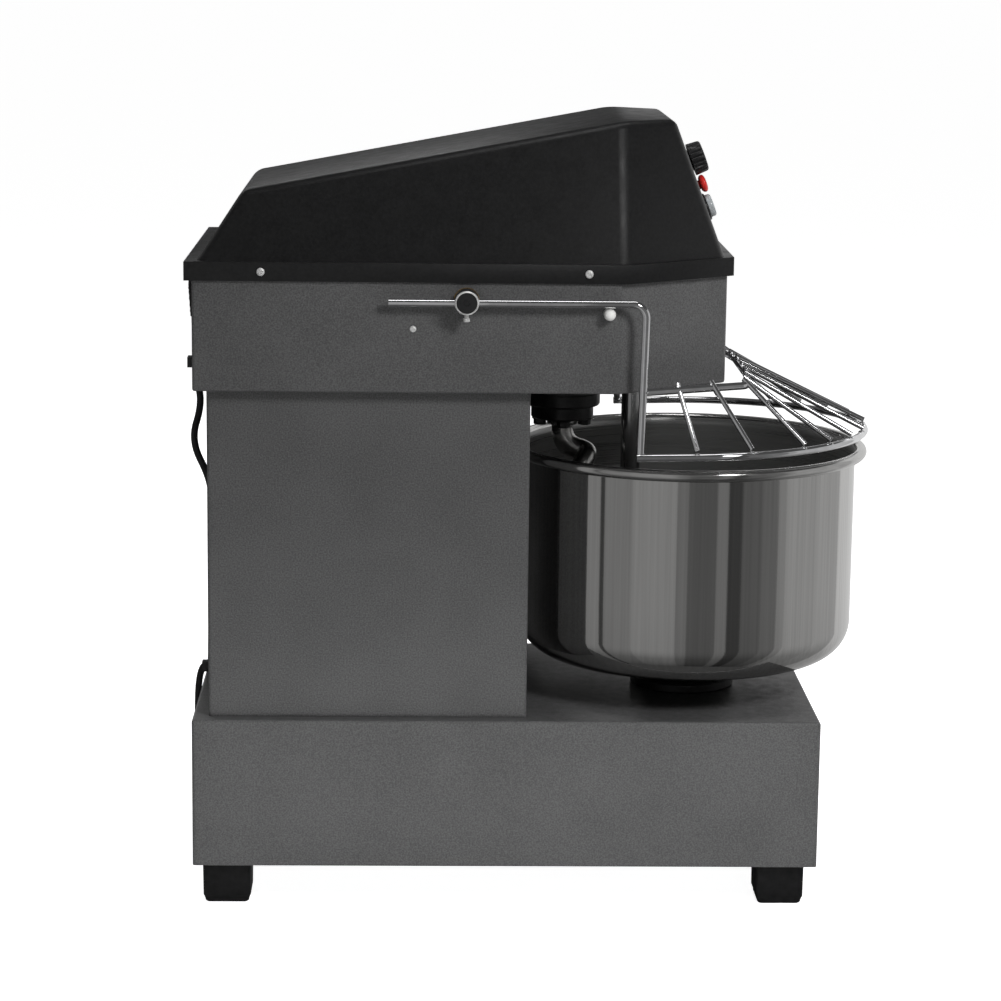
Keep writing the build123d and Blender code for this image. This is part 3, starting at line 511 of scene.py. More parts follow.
def stacked(name, rings, close_low=False):
    """A faceted shell through rings of equal counts of (station, y, z) points."""
    bm = bmesh.new()
    verts = [[bm.verts.new(at(*p)) for p in ring] for ring in rings]
    for lower, upper in zip(verts, verts[1:]):
        ring_faces(bm, lower, upper)
    if close_low:
        bm.faces.new(verts[0])
    bmesh.ops.recalc_face_normals(bm, faces=bm.faces)
    mesh = bpy.data.meshes.new(name)
    bm.to_mesh(mesh)
    bm.free()
    return mesh


def level(outline, z):
    return [(px, py, z) for px, py in outline]


def hood_mesh():
    low = level(nosed(8.7, 172, 443, 550, 91.5), 678.3)
    high = level(nosed(53.4, 137, 440, 495.5, 96.9), 820)
    high = [(px, py, 747 if px < 100 else z) for px, py, z in high]
    flange = nosed(-4, 178, 446, 560, 92.1)
    lap = nosed(2.7, 175.2, 438.5, 554.7, 87.3)
    rings = [level(lap, 672), level(lap, 659), level(flange, 659), level(flange, 678.3), low, high]
    bm = bmesh.new()
    verts = [[bm.verts.new(at(*p)) for p in ring] for ring in rings]
    for lower, upper in zip(verts, verts[1:]):
        ring_faces(bm, lower, upper)
    top = verts[-1]
    bm.faces.new((top[0], top[1], top[4], top[5]))
    bm.faces.new((top[1], top[2], top[3], top[4]))
    bmesh.ops.recalc_face_normals(bm, faces=bm.faces)
    mesh = bpy.data.meshes.new("hood")
    bm.to_mesh(mesh)
    bm.free()

    def upper(edge):
        heights = [v.co.z for v in edge.verts]
        return max(heights) > 0.7 and min(heights) > 0.678 and edge.is_manifold

    rounded = bevelled("hood", mesh, upper, 0.0075, 5)

    def flange_edge(edge):
        a, b = edge.verts[0].co, edge.verts[1].co
        wide = (min(abs(a.y), abs(b.y)) > 0.1775 or min(a.x, b.x) > REAR + 0.5595
                or max(a.x, b.x) < REAR - 0.0035)
        on_slant = (a.x - b.x) != 0 and abs(a.y) < 0.1785 and abs(a.z - b.z) < 1e-6 and abs(a.y - b.y) > 0.05
        both_high = abs(a.z - 0.6783) < 1e-5 and abs(b.z - 0.6783) < 1e-5
        outer = all(abs(v.y) > 0.1775 or v.x > REAR + 0.5595 or v.x < REAR - 0.0035 for v in (a, b))
        return both_high and outer and (wide or on_slant)

    return bevelled("hood", rounded, flange_edge, 0.0028, 3)


hood = piece("hood_shell", hood_mesh(), "machine")
wear(hood, HOOD)
shade_by_angle(hood, 40)
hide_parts("hood")


def head_mesh():
    outline = nosed(3.4, 174.5, 437.3, 554, 86.8)
    mesh = stacked("head", [level(outline, 545.7), level(outline, 672)], close_low=True)

    def upright(edge):
        return abs(edge.verts[0].co.z - edge.verts[1].co.z) > 0.01

    rounded = bevelled("head", mesh, upright, 0.0035, 4)

    def underneath(edge):
        return all(abs(v.co.z - 0.5457) < 1e-5 for v in edge.verts)

    return bevelled("head", rounded, underneath, 0.0022, 3)


head = piece("head_shell", head_mesh(), "machine")
wear(head, PAINT)
shade_by_angle(head, 40)
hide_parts("head_housing")


# ---------------------------------------------------------------------------
# Screws and bolts
# ---------------------------------------------------------------------------
def pan_screw(radius, height):
    """A pan-head screw with a cross recess, its head standing on local z = 0."""
    bm = bmesh.new()
    rings = []
    steps, sides = 14, 48
    centre = bm.verts.new((0, 0, height * 0.45))
    for k in range(1, steps + 1):
        share = k / steps
        ring = []
        for i in range(sides):
            angle = 2 * math.pi * i / sides
            px, py = radius * share * math.cos(angle), radius * share * math.sin(angle)
            z = height * math.sqrt(max(0.0, 1 - share ** 4))
            arm = min(abs(px), abs(py)) < radius * 0.13 and max(abs(px), abs(py)) < radius * 0.6
            ring.append(bm.verts.new((px, py, z - (height * 0.5 if arm else 0))))
        rings.append(ring)
    for i in range(sides):
        bm.faces.new((centre, rings[0][i], rings[0][(i + 1) % sides]))
    for lower, upper in zip(rings, rings[1:]):
        ring_faces(bm, lower, upper)
    return mesh_of("pan_screw", bm)


def hex_bolt(flats, height, washer=0.0):
    """A hexagonal head with chamfered corners on a washer, standing on local z = 0."""
    bm = bmesh.new()
    base = washer and 0.0016
    rings = []
    for scale, z in ((1.0, base), (1.0, base + height * 0.8), (0.93, base + height * 0.95),
        (0.8, base + height)):
        corner = flats / math.sqrt(3) * scale
        ring = [bm.verts.new((corner * math.cos(math.radians(60 * i)),
            corner * math.sin(math.radians(60 * i)), z))
                for i in range(6)]
        rings.append(ring)
    for lower, upper in zip(rings, rings[1:]):
        ring_faces(bm, lower, upper)
    bm.faces.new(rings[-1])
    bm.faces.new(rings[0])
    head_part = mesh_of("bolt", bm, smooth=False)
    if not washer:
        return head_part
    ring = lathe("washer", [(0, 0), (washer, 0), (washer, 0.0012), (washer - 0.0003, 0.0016), (0, 0.0016)],
        40)
    return merged("bolt", [(head_part, Matrix.Identity(4)), (ring, Matrix.Identity(4))])


def cover_screw_mesh():
    big, small = pan_screw(0.0042, 0.0023), pan_screw(0.0034, 0.002)
    parts = []
    for side in (-1, 1):
        turn = facing((0, side, 0))
        parts.append((big, Matrix.Translation(at(73.5, side * 178, 668.4)) @ turn @ Matrix.Rotation(0.5, 4,
            "Z")))
        parts.append((big, Matrix.Translation(at(404.9, side * 178, 668.8)) @ turn @ Matrix.Rotation(1.1, 4,
            "Z")))
        parts.append((small, Matrix.Translation(at(227.2, side * 174.5, 611.3)) @ turn))
        parts.append((big, Matrix.Translation(at(-4, side * 110, 668.5)) @ facing((-1, 0, 0))))
        for z in (216.5, 500):
            parts.append((big, Matrix.Translation(at(16.5, side * 102, z)) @ facing((-1, 0, 0))))
    return merged("panel_screws", parts)


screws = piece("panel_screws", cover_screw_mesh(), "machine")
wear(screws, BRIGHT_ZINC)
shade_by_angle(screws, 50)
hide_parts("cover_screws")


def circle_spots(station, radius, count, first):
    angles = [math.radians(first + 360 * i / count) for i in range(count)]
    return [(station + radius * math.cos(a), radius * math.sin(a)) for a in angles]


def bearing_bolt_mesh():
    hanging = hex_bolt(0.012, 0.0064, 0.0085)
    standing = hex_bolt(0.013, 0.006, 0.0095)
    parts = []
    for px, py in circle_spots(388, 24, 4, 0):
        parts.append((hanging, Matrix.Translation(at(px, py, 494)) @ facing((0, 0, -1))))
    for px, py in circle_spots(BOWL_AT, 47, 4, 45):
        parts.append((standing, Matrix.Translation(at(px, py, 214))))
    return merged("bearing_bolts", parts)


bolts = piece("bearing_bolts", bearing_bolt_mesh(), "machine")
wear(bolts, CAST)
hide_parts("housing_bolts")

# ---------------------------------------------------------------------------
# Bearing housings, spiral and breaker bar
# ---------------------------------------------------------------------------
SPIRAL_HOUSING = [
    (11.7, 505), (11.7, 494.6), (14.5, 493.4), (17, 494), (31.8, 494), (33.6, 495.8), (33.6, 507.2),
    (34.6, 508.4),
    (38.8, 508.4), (40.5, 510.2), (40.5, 521.5), (39.6, 522.4), (39.6, 525.6), (40.5, 526.5), (40.5, 545.7),
    (33.5, 546),
]
housing = piece(
    "spiral_bearing_housing", placed(lathe("h", metres(SPIRAL_HOUSING), 96), at_axis(388)), "machine")
wear(housing, CAST)
shade_by_angle(housing, 30)
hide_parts("spiral_housing")

BOWL_HOUSING = [
    (38, 190), (38, 201.3), (55, 201.3), (56, 202.4), (56, 209.6), (54.6, 211), (42.5, 212.6), (39.4, 214.4),
    (38, 217), (38, 224.8), (36.8, 226), (25, 226), (24, 225), (24, 216),
]
foot_housing = piece(
    "bowl_bearing_housing", placed(lathe("h", metres(BOWL_HOUSING), 96), at_axis(BOWL_AT)), "machine")
wear(foot_housing, CAST)
shade_by_angle(foot_housing, 30)
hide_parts("bowl_housing")


def smooth_path(points, per=8):
    """Points of a Catmull-Rom curve through points."""
    spots = [Vector(p) for p in points]
    spots = [spots[0] * 2 - spots[1]] + spots + [spots[-1] * 2 - spots[-2]]
    out = []
    for i in range(1, len(spots) - 2):
        p0, p1, p2, p3 = spots[i - 1:i + 3]
        for k in range(per):
            t = k / per
            out.append(0.5 * ((2 * p1) + (p2 - p0) * t + (2 * p0 - 5 * p1 + 4 * p2 - p3) * t * t
                              + (3 * p1 - p0 - 3 * p2 + p3) * t ** 3))
    out.append(spots[-2])
    return out


def hook_mesh():
    """The spiral: a round bar that leaves the shaft in an elbow and winds down inside the bowl."""
    points = [at(388, 0, 512), at(388, 0, 500), at(388, 0, 489), at(388.4, 0, 479.5), at(390.8, 0, 470.5),
              at(395.8, 0, 463.8), at(403, -0.3, 460.2), at(410, -1.6, 458.6), at(414.8, -6.8, 456)]
    winding = []
    for i in range(1, 31):
        z = 458 - 201 * i / 30 + 6 * math.exp(-((i - 2) ** 2) / 8)
        radius = 28 - 15 * max(0.0, (i - 20) / 10)
        angle = math.radians(-15 * i)
        winding.append(at(388 + radius * math.cos(angle), radius * math.sin(angle), z))
    path = smooth_path(points + winding[1:], 6)
    radii = []
    for i in range(len(path)):
        share = i / (len(path) - 1)
        elbow = 1.1 * math.exp(-((share - 0.13) / 0.05) ** 2)
        taper = 2.0 * max(0.0, (share - 0.93) / 0.07) ** 2
        radii.append((11 + elbow - taper) / 1000)
    return swept_tube("spiral", path, radii, 36)


hook = piece("spiral_bar", hook_mesh(), "spiral")
wear(hook, HOOK_STEEL)
COLLAR = [(11, 505), (11, 487), (15.6, 487), (16.2, 487.6), (16.2, 491.6), (15.6, 492.4), (11.5, 492.4)]
collar = piece("spiral_collar", placed(lathe("c", metres(COLLAR), 72), at_axis(388)), "spiral")
wear(collar, STEEL)
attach(collar, "spiral")
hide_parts("spiral_hook")
SHAFT = [(0, 500), (11, 500), (11, 510), (12.5, 512), (12.5, 624.5), (11.5, 626), (0, 626)]
shaft = piece("spiral_shaft", placed(lathe("s", metres(SHAFT), 48), at_axis(388)), "spiral")
wear(shaft, STEEL)

BREAKER = [(0, 252), (6.5, 252), (9.4, 253.4), (10.4, 256.5), (10.4, 400), (10.4, 560), (24, 560),
    (24, 552), (0, 552)]
breaker = piece("breaker", placed(lathe("b", metres(BREAKER), 64), at_axis(462.2)), "machine")
wear(breaker, BAR_STEEL)
shade_by_angle(breaker, 40)
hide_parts("breaker_bar")

# ---------------------------------------------------------------------------
# Guard: welds, hubs and pegs
# ---------------------------------------------------------------------------
LEG_AT, HOOP_RADIUS, FRAME_Z, FRONT_BAR_HALF = 460.0, 190.0, 550.0, 134.0


def hoop_z(station):
    return 483 + 4 * (station - LEG_AT) / (BOWL_AT + HOOP_RADIUS - LEG_AT)


def front_bar_at(y):
    return 571 + 11 * (1 - (y / FRONT_BAR_HALF) ** 2)


def frame_half(station):
    return 187 + (FRONT_BAR_HALF - 187) * (station - LEG_AT) / (571 - LEG_AT)


def weld_bead(radius, flatness):
    profile = [(0, radius * flatness)]
    for i in range(1, 9):
        angle = math.pi / 2 - math.pi * i / 8
        profile.append((max(0.0, radius * math.cos(angle)), radius * flatness * math.sin(angle)))
    profile[-1] = (0, -radius * flatness)
    return lathe("weld", profile, 20)


def weld_mesh():
    bead = weld_bead(0.0037, 0.6)
    parts = []

    def add(station, y, z, size=1.0):
        parts.append((bead, Matrix.Translation(at(station, y, z)) @ Matrix.Diagonal((size, size, size, 1))))

    for top_y, low_y in ((0, 0), (38, 57), (79, 97), (117, 131), (131, 157)):
        low_at = BOWL_AT + math.sqrt(HOOP_RADIUS ** 2 - low_y ** 2)
        for side in ((-1, 1) if top_y else (1,)):
            add(front_bar_at(top_y) - 1.0, side * top_y, FRAME_Z + 2.6)
            add(low_at - 0.5, side * low_y, hoop_z(low_at) + 2.4)
    for top_at, low_at in ((497.0, 517.0), (533.0, 574.0)):
        low_y = math.sqrt(HOOP_RADIUS ** 2 - max(0.0, low_at - BOWL_AT) ** 2)
        for side in (-1, 1):
            add(top_at, side * (frame_half(top_at) - 0.5), FRAME_Z + 2.6)
            add(low_at, side * low_y, hoop_z(low_at) + 2.4)
    for side in (-1, 1):
        add(LEG_AT + 1.5, side * 187.5, 483.5, 1.25)
        add(LEG_AT + 2.5, side * 186.6, FRAME_Z, 1.2)
    return merged("guard_welds", parts)


welds = piece("guard_welds", weld_mesh(), "guard")
wear(welds, CHROME)

HUB = [
    (8, 0), (11.6, 0), (12.3, 0.8), (12.3, 22.5), (11.9, 23.9), (11.2, 24.6), (10.7, 24.6), (10.5, 24.0),
    (10.4, 23.2),
    (9.6, 23.1), (3.2, 23.1), (2.6, 22.2), (0, 22.0),
]
HUB_FINISH = [0, 0, 0, 1, 1, 1, 1, 0, 0, 0, 0, 0]


def set_screw():
    """A screw that stands out of the hub, with a small round recess in its head's end at local z = 0."""
    body = lathe("s", [(0, 0.0018), (0.0008, 0.0018), (0.0008, 0.0004), (0.003, 0.0), (0.0034, 0.0006),
        (0.0034, 0.0034),
                       (0.0024, 0.004), (0.0024, 0.009), (0, 0.009)], 32)
    return body


def hub_mesh():
    hub = lathe("hub", metres(HUB), 72, HUB_FINISH)
    parts = []
    for side in (-1, 1):
        parts.append((hub, Matrix.Translation(at(281.2, side * 177, 641)) @ facing((0, side, 0))))
    return merged("hubs", parts)


hubs = piece("guard_hub_caps", hub_mesh(), "guard")
wear(hubs, BLACK, BRIGHT_ZINC)
shade_by_angle(hubs, 35)
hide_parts("guard_hubs")
screw_parts = [(set_screw(), Matrix.Translation(at(281.2, side * 192.5, 621.5))) for side in (-1, 1)]
hub_screws = piece("guard_hub_screws", merged("hub_screws", screw_parts), "guard")
wear(hub_screws, BRIGHT_ZINC)
shade_by_angle(hub_screws, 35)

PEG = [(0, 0), (6.2, 0), (6.2, 10.2), (5.9, 12.2), (5.1, 14.2), (3.8, 15.6), (2.0, 16.4), (0, 16.6)]
peg_parts = []
for side in (-1, 1):
    peg_parts.append((lathe("peg", metres(PEG), 48),
        Matrix.Translation(at(426, side * 174.5, 628.7)) @ facing((0, side, 0))))
pegs = piece("rest_pegs", merged("pegs", peg_parts), "machine")
wear(pegs, NYLON)
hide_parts("guard_stops")

# ---------------------------------------------------------------------------
# Controls on the hood's sloping front
# ---------------------------------------------------------------------------
def on_slope(s, n=0.0):
    """A frame on the sloping front: local z is its normal, local y points up the slope."""
    x_axis, z_axis = Vector((0, 1, 0)), Vector((0.9334, 0, 0.3588)).normalized()
    y_axis = z_axis.cross(x_axis)
    turn = Matrix((x_axis, y_axis, z_axis)).transposed().to_4x4()
    return Matrix.Translation(at(501.1, 0, 805.4)) @ turn @ Matrix.Translation((0, -s / 1000, n / 1000))


def fluted(name, profile, flutes, depth, segments=180):
    """A turned shape whose outer rings are fluted; profile is (radius, z, share of the flutes)."""
    bm = bmesh.new()
    rings = []
    for radius, z, share in profile:
        if radius < 1e-7:
            rings.append([bm.verts.new((0, 0, z))])
            continue
        ring = []
        for i in range(segments):
            angle = 2 * math.pi * i / segments
            wave = 0.5 - 0.5 * math.cos(flutes * angle)
            reach = radius - depth * share * wave ** 3
            ring.append(bm.verts.new((reach * math.cos(angle), reach * math.sin(angle), z)))
        rings.append(ring)
    for lower, upper in zip(rings, rings[1:]):
        if len(upper) == 1:
            for i in range(segments):
                bm.faces.new((upper[0], lower[i], lower[(i + 1) % segments]))
        else:
            ring_faces(bm, lower, upper)
    return mesh_of(name, bm)


KNOB = [
    (0.012, 0.0001, 0), (0.0172, 0.0001, 0.2), (0.0174, 0.0006, 1), (0.0166, 0.0122, 1),
    (0.0163, 0.0136, 0.7),
    (0.0155, 0.0145, 0.1), (0.0146, 0.0149, 0), (0.0138, 0.0146, 0), (0.0128, 0.0142, 0), (0, 0.0143, 0),
]


def slab(x0, x1, y0, y1, z0, z1, round_by=0.0):
    """A bevelled slab in local millimetres."""
    bm = bmesh.new()
    bmesh.ops.create_cube(bm, size=1)
    size = Matrix.Diagonal(((x1 - x0) / 1000, (y1 - y0) / 1000, (z1 - z0) / 1000, 1))
    middle = Vector(((x0 + x1) / 2000, (y0 + y1) / 2000, (z0 + z1) / 2000))
    bmesh.ops.transform(bm, matrix=Matrix.Translation(middle) @ size, verts=bm.verts)
    if round_by:
        bmesh.ops.bevel(bm, geom=list(bm.edges), offset=round_by / 1000, segments=3, profile=0.5,
            affect="EDGES",
                        clamp_overlap=True)
    return mesh_of("slab", bm)


knob = piece("timer_dial", placed(fluted("knob", KNOB, 18, 0.0016), on_slope(38.7, 6)), "timer_knob")
wear(knob, BLACK)
shade_by_angle(knob, 40)
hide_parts("timer_knob")
pointer = piece("timer_pointer", placed(slab(-0.8, 0.8, 3.5, 13.4, 14.1, 15.1, 0.2), on_slope(38.7, 6)),
    "timer_knob")
wear(pointer, MARK)

STOP = [(0, 2.5), (4.9, 2.5), (4.9, 4), (6.8, 4.2), (8.6, 5.4), (9.5, 7.0), (9.6, 8.4), (9.0, 9.8),
    (7.2, 10.9), (4, 11.5), (0, 11.7)]
stop = piece("stop_mushroom", placed(lathe("stop", metres(STOP), 64), on_slope(66.6, 2.3)), "stop_button")
wear(stop, RED)
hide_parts("stop_button")
START = [(0, 0), (12.3, 0), (12.4, 0.5), (12.2, 4.6), (11.6, 5.8), (10.6, 6.3), (9.6, 6.2), (8.8, 5.8),
    (0, 5.6)]
start = piece("start_cap", placed(lathe("start", metres(START), 72), on_slope(91.2, 6.3)), "start_button")
wear(start, LENS)
shade_by_angle(start, 40)
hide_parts("start_button")
BEZEL = [(8, 0), (14.5, 0), (14.9, 0.6), (14.9, 3.4), (14.2, 4.6), (13.4, 4.9), (13.0, 4.6), (13.0, 1.3),
    (5.1, 1.3)]
COLLAR_RING = [(5.1, 0.2), (12.2, 0.2), (12.6, 0.7), (12.0, 1.9), (10.8, 2.3), (5.2, 2.3)]


def control_trim():
    parts = [(lathe("bezel", metres(BEZEL), 72), on_slope(91.2, 1.8))]
    parts.append((lathe("ring", metres(COLLAR_RING), 64), on_slope(66.6, 1.0)))
    parts.append((lathe("ring", metres([(3.1, 0), (14.5, 0), (15, 0.5), (14.4, 2.6), (12, 3.2),
        (3.2, 3.2)]), 64),
                  on_slope(38.7, 1.8)))
    return merged("control_trim", parts)


trim = piece("control_trim", control_trim(), "machine")
wear(trim, BLACK)
shade_by_angle(trim, 40)
panel = piece("panel_face", placed(slab(-42, 42, -53, 53, 0.25, 1.75, 0.5), on_slope(66)), "machine")
wear(panel, SATIN_PLATE)
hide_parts("control_plate")
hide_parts("push_switches", "timer_body")


def dial_ticks_and_edge_lines():
    parts = []
    for i in range(11):
        turn = Matrix.Rotation(math.radians(150 - 30 * i), 4, "Z")
        long_mark = i % 5 == 0
        parts.append((slab(-0.45, 0.45, 19.2, 23.4 if long_mark else 21.6, 0, 0.25, 0.05),
            on_slope(38.7, 1.7) @ turn))
    # Thin white lines along the plate's four edges.
    for x0 in (-39.5, 38.7):
        parts.append((slab(x0, x0 + 0.8, -50, 50, 0, 0.2, 0.05), on_slope(66, 1.7)))
    for y0 in (-50.8, 50):
        parts.append((slab(-39.5, 39.5, y0, y0 + 0.8, 0, 0.2, 0.05), on_slope(66, 1.7)))
    return merged("dial_ticks_and_edge_lines", parts)


marks = piece("dial_ticks_and_edge_lines", dial_ticks_and_edge_lines(), "machine")
wear(marks, MARK)

# ---------------------------------------------------------------------------
# Feet and the rear cover's louvres
# ---------------------------------------------------------------------------
def foot_mesh():
    parts = []
    for station in (35, 618):
        for side in (-1, 1):
            rings = []
            for half, z in ((21.5, 0), (22.6, 1.2), (23.2, 4), (24.8, 8), (25.2, 42.5), (24.8, 44.4)):
                rings.append([at(px * half, py * half, z) - at(0, 0, 0) for px,
                    py in ((-1, -1), (1, -1), (1, 1), (-1, 1))])
            bm = bmesh.new()
            verts = [[bm.verts.new(p) for p in ring] for ring in rings]
            for lower, upper in zip(verts, verts[1:]):
                ring_faces(bm, lower, upper)
            bm.faces.new(verts[0])
            bm.faces.new(verts[-1])
            upright = [e for e in bm.edges if abs(e.verts[0].co.z - e.verts[1].co.z) > 0.0005]
            bmesh.ops.bevel(bm, geom=upright, offset=0.0035, segments=4, profile=0.5, affect="EDGES")
            parts.append((mesh_of("foot", bm), at_axis(station, 0, side * 138)))
    return merged("rubber_feet", parts)


feet = piece("rubber_feet", foot_mesh(), "machine")
wear(feet, FOOT_RUBBER)
shade_by_angle(feet, 40)
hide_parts("feet")


def louvre_mesh():
    """Pressed hoods over the rear cover's slots."""
    bm = bmesh.new()
    for row in range(8):
        for side in (-62, 62):
            z = 420 + 9 * row + 3.5
            rings = []
            for k in range(7):
                angle = math.radians(15 * k)
                rings.append((16.6 - 3.0 * math.sin(angle), z - 3.2 + 4.4 * math.cos(angle)))
            columns = []
            for y, pinch in ((-31.5, 0.0), (-29, 0.75), (-26, 1.0), (26, 1.0), (29, 0.75), (31.5, 0.0)):
                columns.append([bm.verts.new(at(16.5 - (16.5 - px) * pinch, side + y, pz)) for px,
                    pz in rings])
            for left, right in zip(columns, columns[1:]):
                ring_faces(bm, left, right, closed=False)
    return mesh_of("louvres", bm)


louvres = piece("rear_louvres", louvre_mesh(), "machine")
wear(louvres, PAINT)

# ---------------------------------------------------------------------------
# Mains lead: relief and plug
# ---------------------------------------------------------------------------
def relief_mesh():
    """The elbow at the head's rear: a bend and a ribbed taper down to the lead; its nut is a piece of its
    own.
    """
    points = [at(11, 0, 646), at(4, 0, 646), at(0, 0, 645.6), at(-3.6, 0, 643.4), at(-6.0, 0, 639.5),
        at(-6.6, 0, 634),
              at(-6.6, 0, 626), at(-6.5, 0, 612), at(-6.5, 0, 600)]
    path = smooth_path(points, 6)
    radii = []
    for i, spot in enumerate(path):
        z = spot.z * 1000
        radius = 6.6 if z > 634 else 4.6 + 2.0 * (z - 600) / 34
        rib = 0.35 if z < 632 and i % 3 == 0 else 0.0
        radii.append((radius + rib) / 1000)
    return swept_tube("relief", path, radii, 32)


relief = piece("lead_relief", relief_mesh(), "machine")
wear(relief, FOOT_RUBBER)
nut_mesh = merged("nut", [(hex_bolt(0.0205, 0.0032),
    Matrix.Translation(at(3.4, 0, 646)) @ facing((-1, 0, 0)))])
nut = piece("lead_nut", nut_mesh, "machine")
wear(nut, BLACK)
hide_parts("strain_relief")

PLUG = [
    (0, 0), (4.9, 0), (5.3, 0.6), (5.3, 3.4), (4.7, 4.0), (5.6, 4.6), (5.8, 7.6), (5.2, 8.2), (6.2, 8.8),
    (6.4, 11.8),
    (5.8, 12.4), (6.8, 13.0), (7.1, 16.0), (6.5, 16.6), (7.6, 17.4), (8.4, 21), (10.5, 24.5), (14.4, 26.6),
    (16.8, 28.8),
    (17.4, 32), (17.4, 37), (16.6, 38.4), (16.6, 40.4), (17.4, 41.6), (17.4, 55), (16.9, 58), (15.4, 59.9),
    (13.5, 60.6),
    (13, 62.8), (12, 63.8), (0, 64),
]
PIN = [(0, 60), (2.35, 60), (2.35, 72.5), (2.2, 73), (2.2, 81.4), (1.7, 82.6), (0.8, 83), (0, 83)]


def plug_mesh():
    lie = Matrix.Translation(at(140, 299.6, 17.8)) @ facing((1, 0, 0))
    body = lathe("plug", metres(PLUG), 72, [0] * (len(PLUG) - 1))
    pin = lathe("pin", metres(PIN), 28, [0, 0, 0, 1, 1, 1, 1])
    parts = [(body, lie)]
    for side in (-9.5, 9.5):
        parts.append((pin, Matrix.Translation((0, side / 1000, 0)) @ lie))
    return merged("plug", parts)


plug = piece("mains_plug_body", plug_mesh(), "machine")
wear(plug, BLACK, BRIGHT_ZINC)
shade_by_angle(plug, 40)
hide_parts("mains_plug")


# ---------------------------------------------------------------------------
# Stage: floor, light, and the studio that the steel reflects
# ---------------------------------------------------------------------------
bpy.context.scene.view_settings.view_transform = "Standard"


def staged(name, mesh, material):
    obj = bpy.data.objects.new(name, mesh)
    bpy.context.scene.collection.objects.link(obj)
    obj.data.materials.append(material)
    return obj


def floor_material():
    material = bpy.data.materials.new("studio_floor")
    material.use_nodes = True
    nodes, links = material.node_tree.nodes, material.node_tree.links
    shader = nodes["Principled BSDF"]
    shader.inputs["Base Color"].default_value = (0.86, 0.86, 0.86, 1)
    shader.inputs["Roughness"].default_value = 0.9
    shader.inputs["Specular IOR Level"].default_value = 0.1
    shader.inputs["Emission Color"].default_value = (1, 1, 1, 1)
    glow = nodes.new("ShaderNodeMapRange")
    glow.inputs["To Min"].default_value = 0.12
    glow.inputs["To Max"].default_value = 0.93
    links.new(nodes.new("ShaderNodeLightPath").outputs["Is Camera Ray"], glow.inputs["Value"])
    links.new(glow.outputs["Result"], shader.inputs["Emission Strength"])
    return material


def floor_mesh():
    mesh = bpy.data.meshes.new("floor")
    mesh.from_pydata([(-90, -90, 0), (90, -90, 0), (90, 90, 0), (-90, 90, 0)], [], [(0, 1, 2, 3)])
    return mesh


floor = staged("studio_floor", floor_mesh(), floor_material())
floor.visible_glossy = False

# Bands of the wall that only polished surfaces reflect: (from, to, brightness), in degrees round
# the bowl's axis. 0 faces -Y, and 90 faces +X.
PANELS = [
    (-180, -92, 0.012), (-92, -84, 0.5), (-84, -60, 0.28), (-60, -57, 0.06), (-57, -38, 0.25),
    (-38, -10, 0.32),
    (-10, -3, 0.21), (-3, 15, 0.12), (15, 22, 0.22), (22, 31, 0.06), (31, 45, 0.13), (45, 56, 0.17),
    (56, 62, 0.3),
    (62, 90, 0.41), (90, 116, 0.46), (116, 180, 0.72),
]

# Height and share of the brightness, from under the floor's level to above the machine.
HEIGHTS = [(-1.6, 0.25), (-0.5, 0.55), (-0.1, 0.9), (0.1, 1.0), (0.9, 1.0), (1.15, 0.8)]


WALL_RADIUS = 1.15


def panel_wall():
    bm = bmesh.new()
    centre = at(BOWL_AT, 0, 0)
    layer = bm.loops.layers.float_color.new("glow")
    for low, high, glow in PANELS:
        count = max(1, round((high - low) / 4))
        for i in range(count):
            for (z0, dim0), (z1, dim1) in zip(HEIGHTS, HEIGHTS[1:]):
                corners, dims = [], (dim0, dim0, dim1, dim1)
                for share, z in ((i, z0), (i + 1, z0), (i + 1, z1), (i, z1)):
                    angle = math.radians(low + (high - low) * share / count)
                    corners.append(centre + Vector((WALL_RADIUS * math.sin(angle),
                        -WALL_RADIUS * math.cos(angle), z)))
                face = bm.faces.new([bm.verts.new(c) for c in corners])
                for loop, dim in zip(face.loops, dims):
                    loop[layer] = (glow * dim, glow * dim, glow * dim, 1)
    mesh = bpy.data.meshes.new("panels")
    bm.to_mesh(mesh)
    bm.free()
    return mesh


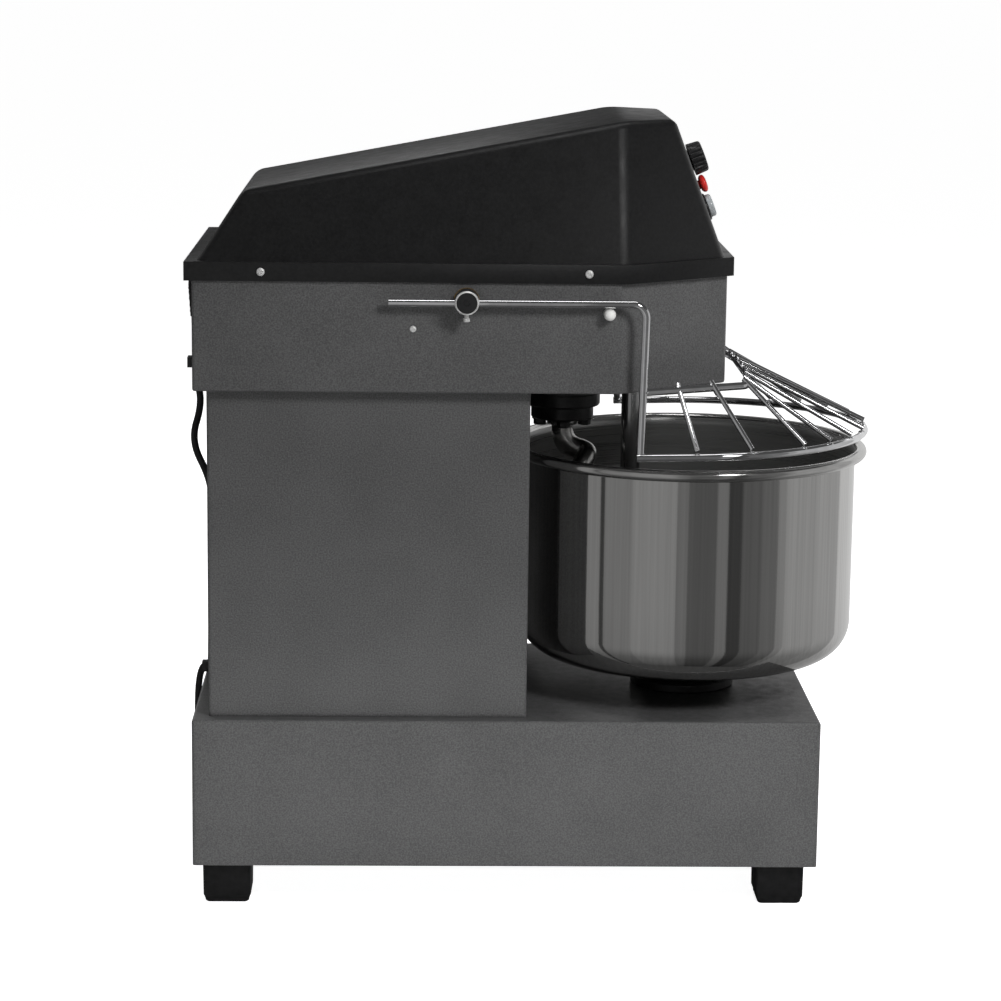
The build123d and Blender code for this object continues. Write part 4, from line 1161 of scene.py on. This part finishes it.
def panel_material():
    material = bpy.data.materials.new("panels")
    material.use_nodes = True
    nodes, links = material.node_tree.nodes, material.node_tree.links
    nodes.clear()
    glow = nodes.new("ShaderNodeEmission")
    color = nodes.new("ShaderNodeVertexColor")
    color.layer_name = "glow"
    out = nodes.new("ShaderNodeOutputMaterial")
    links.new(color.outputs["Color"], glow.inputs["Color"])
    links.new(glow.outputs["Emission"], out.inputs["Surface"])
    return material


wall = staged("studio_panels", panel_wall(), panel_material())
wall.visible_camera = False
wall.visible_diffuse = False
wall.visible_shadow = False


def softbox(name, place, target, width, height, power, mirrored=False):
    light = bpy.data.objects.new(name, bpy.data.lights.new(name, "AREA"))
    light.data.shape = "RECTANGLE"
    light.data.size = width
    light.data.size_y = height
    light.data.energy = power
    light.visible_glossy = mirrored
    light.visible_camera = False
    aim = Vector(target) - Vector(place)
    light.matrix_world = Matrix.Translation(place) @ aim.to_track_quat("-Z", "Y").to_matrix().to_4x4()
    bpy.context.scene.collection.objects.link(light)
    return light


softbox("key", (0.8, -1.4, 1.5), (0, 0, 0.5), 0.5, 0.5, 18)
softbox("spark", (0.78, -1.36, 1.47), (0, 0, 0.5), 0.3, 0.3, 4, mirrored=True)
low = softbox("low", (0.02, -0.9, 0.1), (0.02, 0, 0.1), 1.0, 0.12, 0.45)
low.data.spread = math.radians(50)
softbox("top", (0, 0.2, 3.0), (0, 0, 0.5), 2.2, 2.2, 34)
softbox("strip", (0.2, -0.1, 2.6), (0.1, 0, 0.5), 2.0, 0.25, 6, mirrored=True)
softbox("back", (-1.5, 2.8, 1.5), (0, 0, 0.8), 2.9, 1.3, 30, mirrored=True)
world = bpy.data.worlds.new("studio")
bpy.context.scene.world = world
world.use_nodes = True
nodes, links = world.node_tree.nodes, world.node_tree.links
background = nodes["Background"]
background.inputs["Color"].default_value = (1, 1, 1, 1)
seen = nodes.new("ShaderNodeLightPath").outputs["Is Camera Ray"]
strength = nodes.new("ShaderNodeMapRange")
strength.inputs["To Min"].default_value = 0.07
strength.inputs["To Max"].default_value = 1.0
links.new(seen, strength.inputs["Value"])
links.new(strength.outputs["Result"], background.inputs["Strength"])
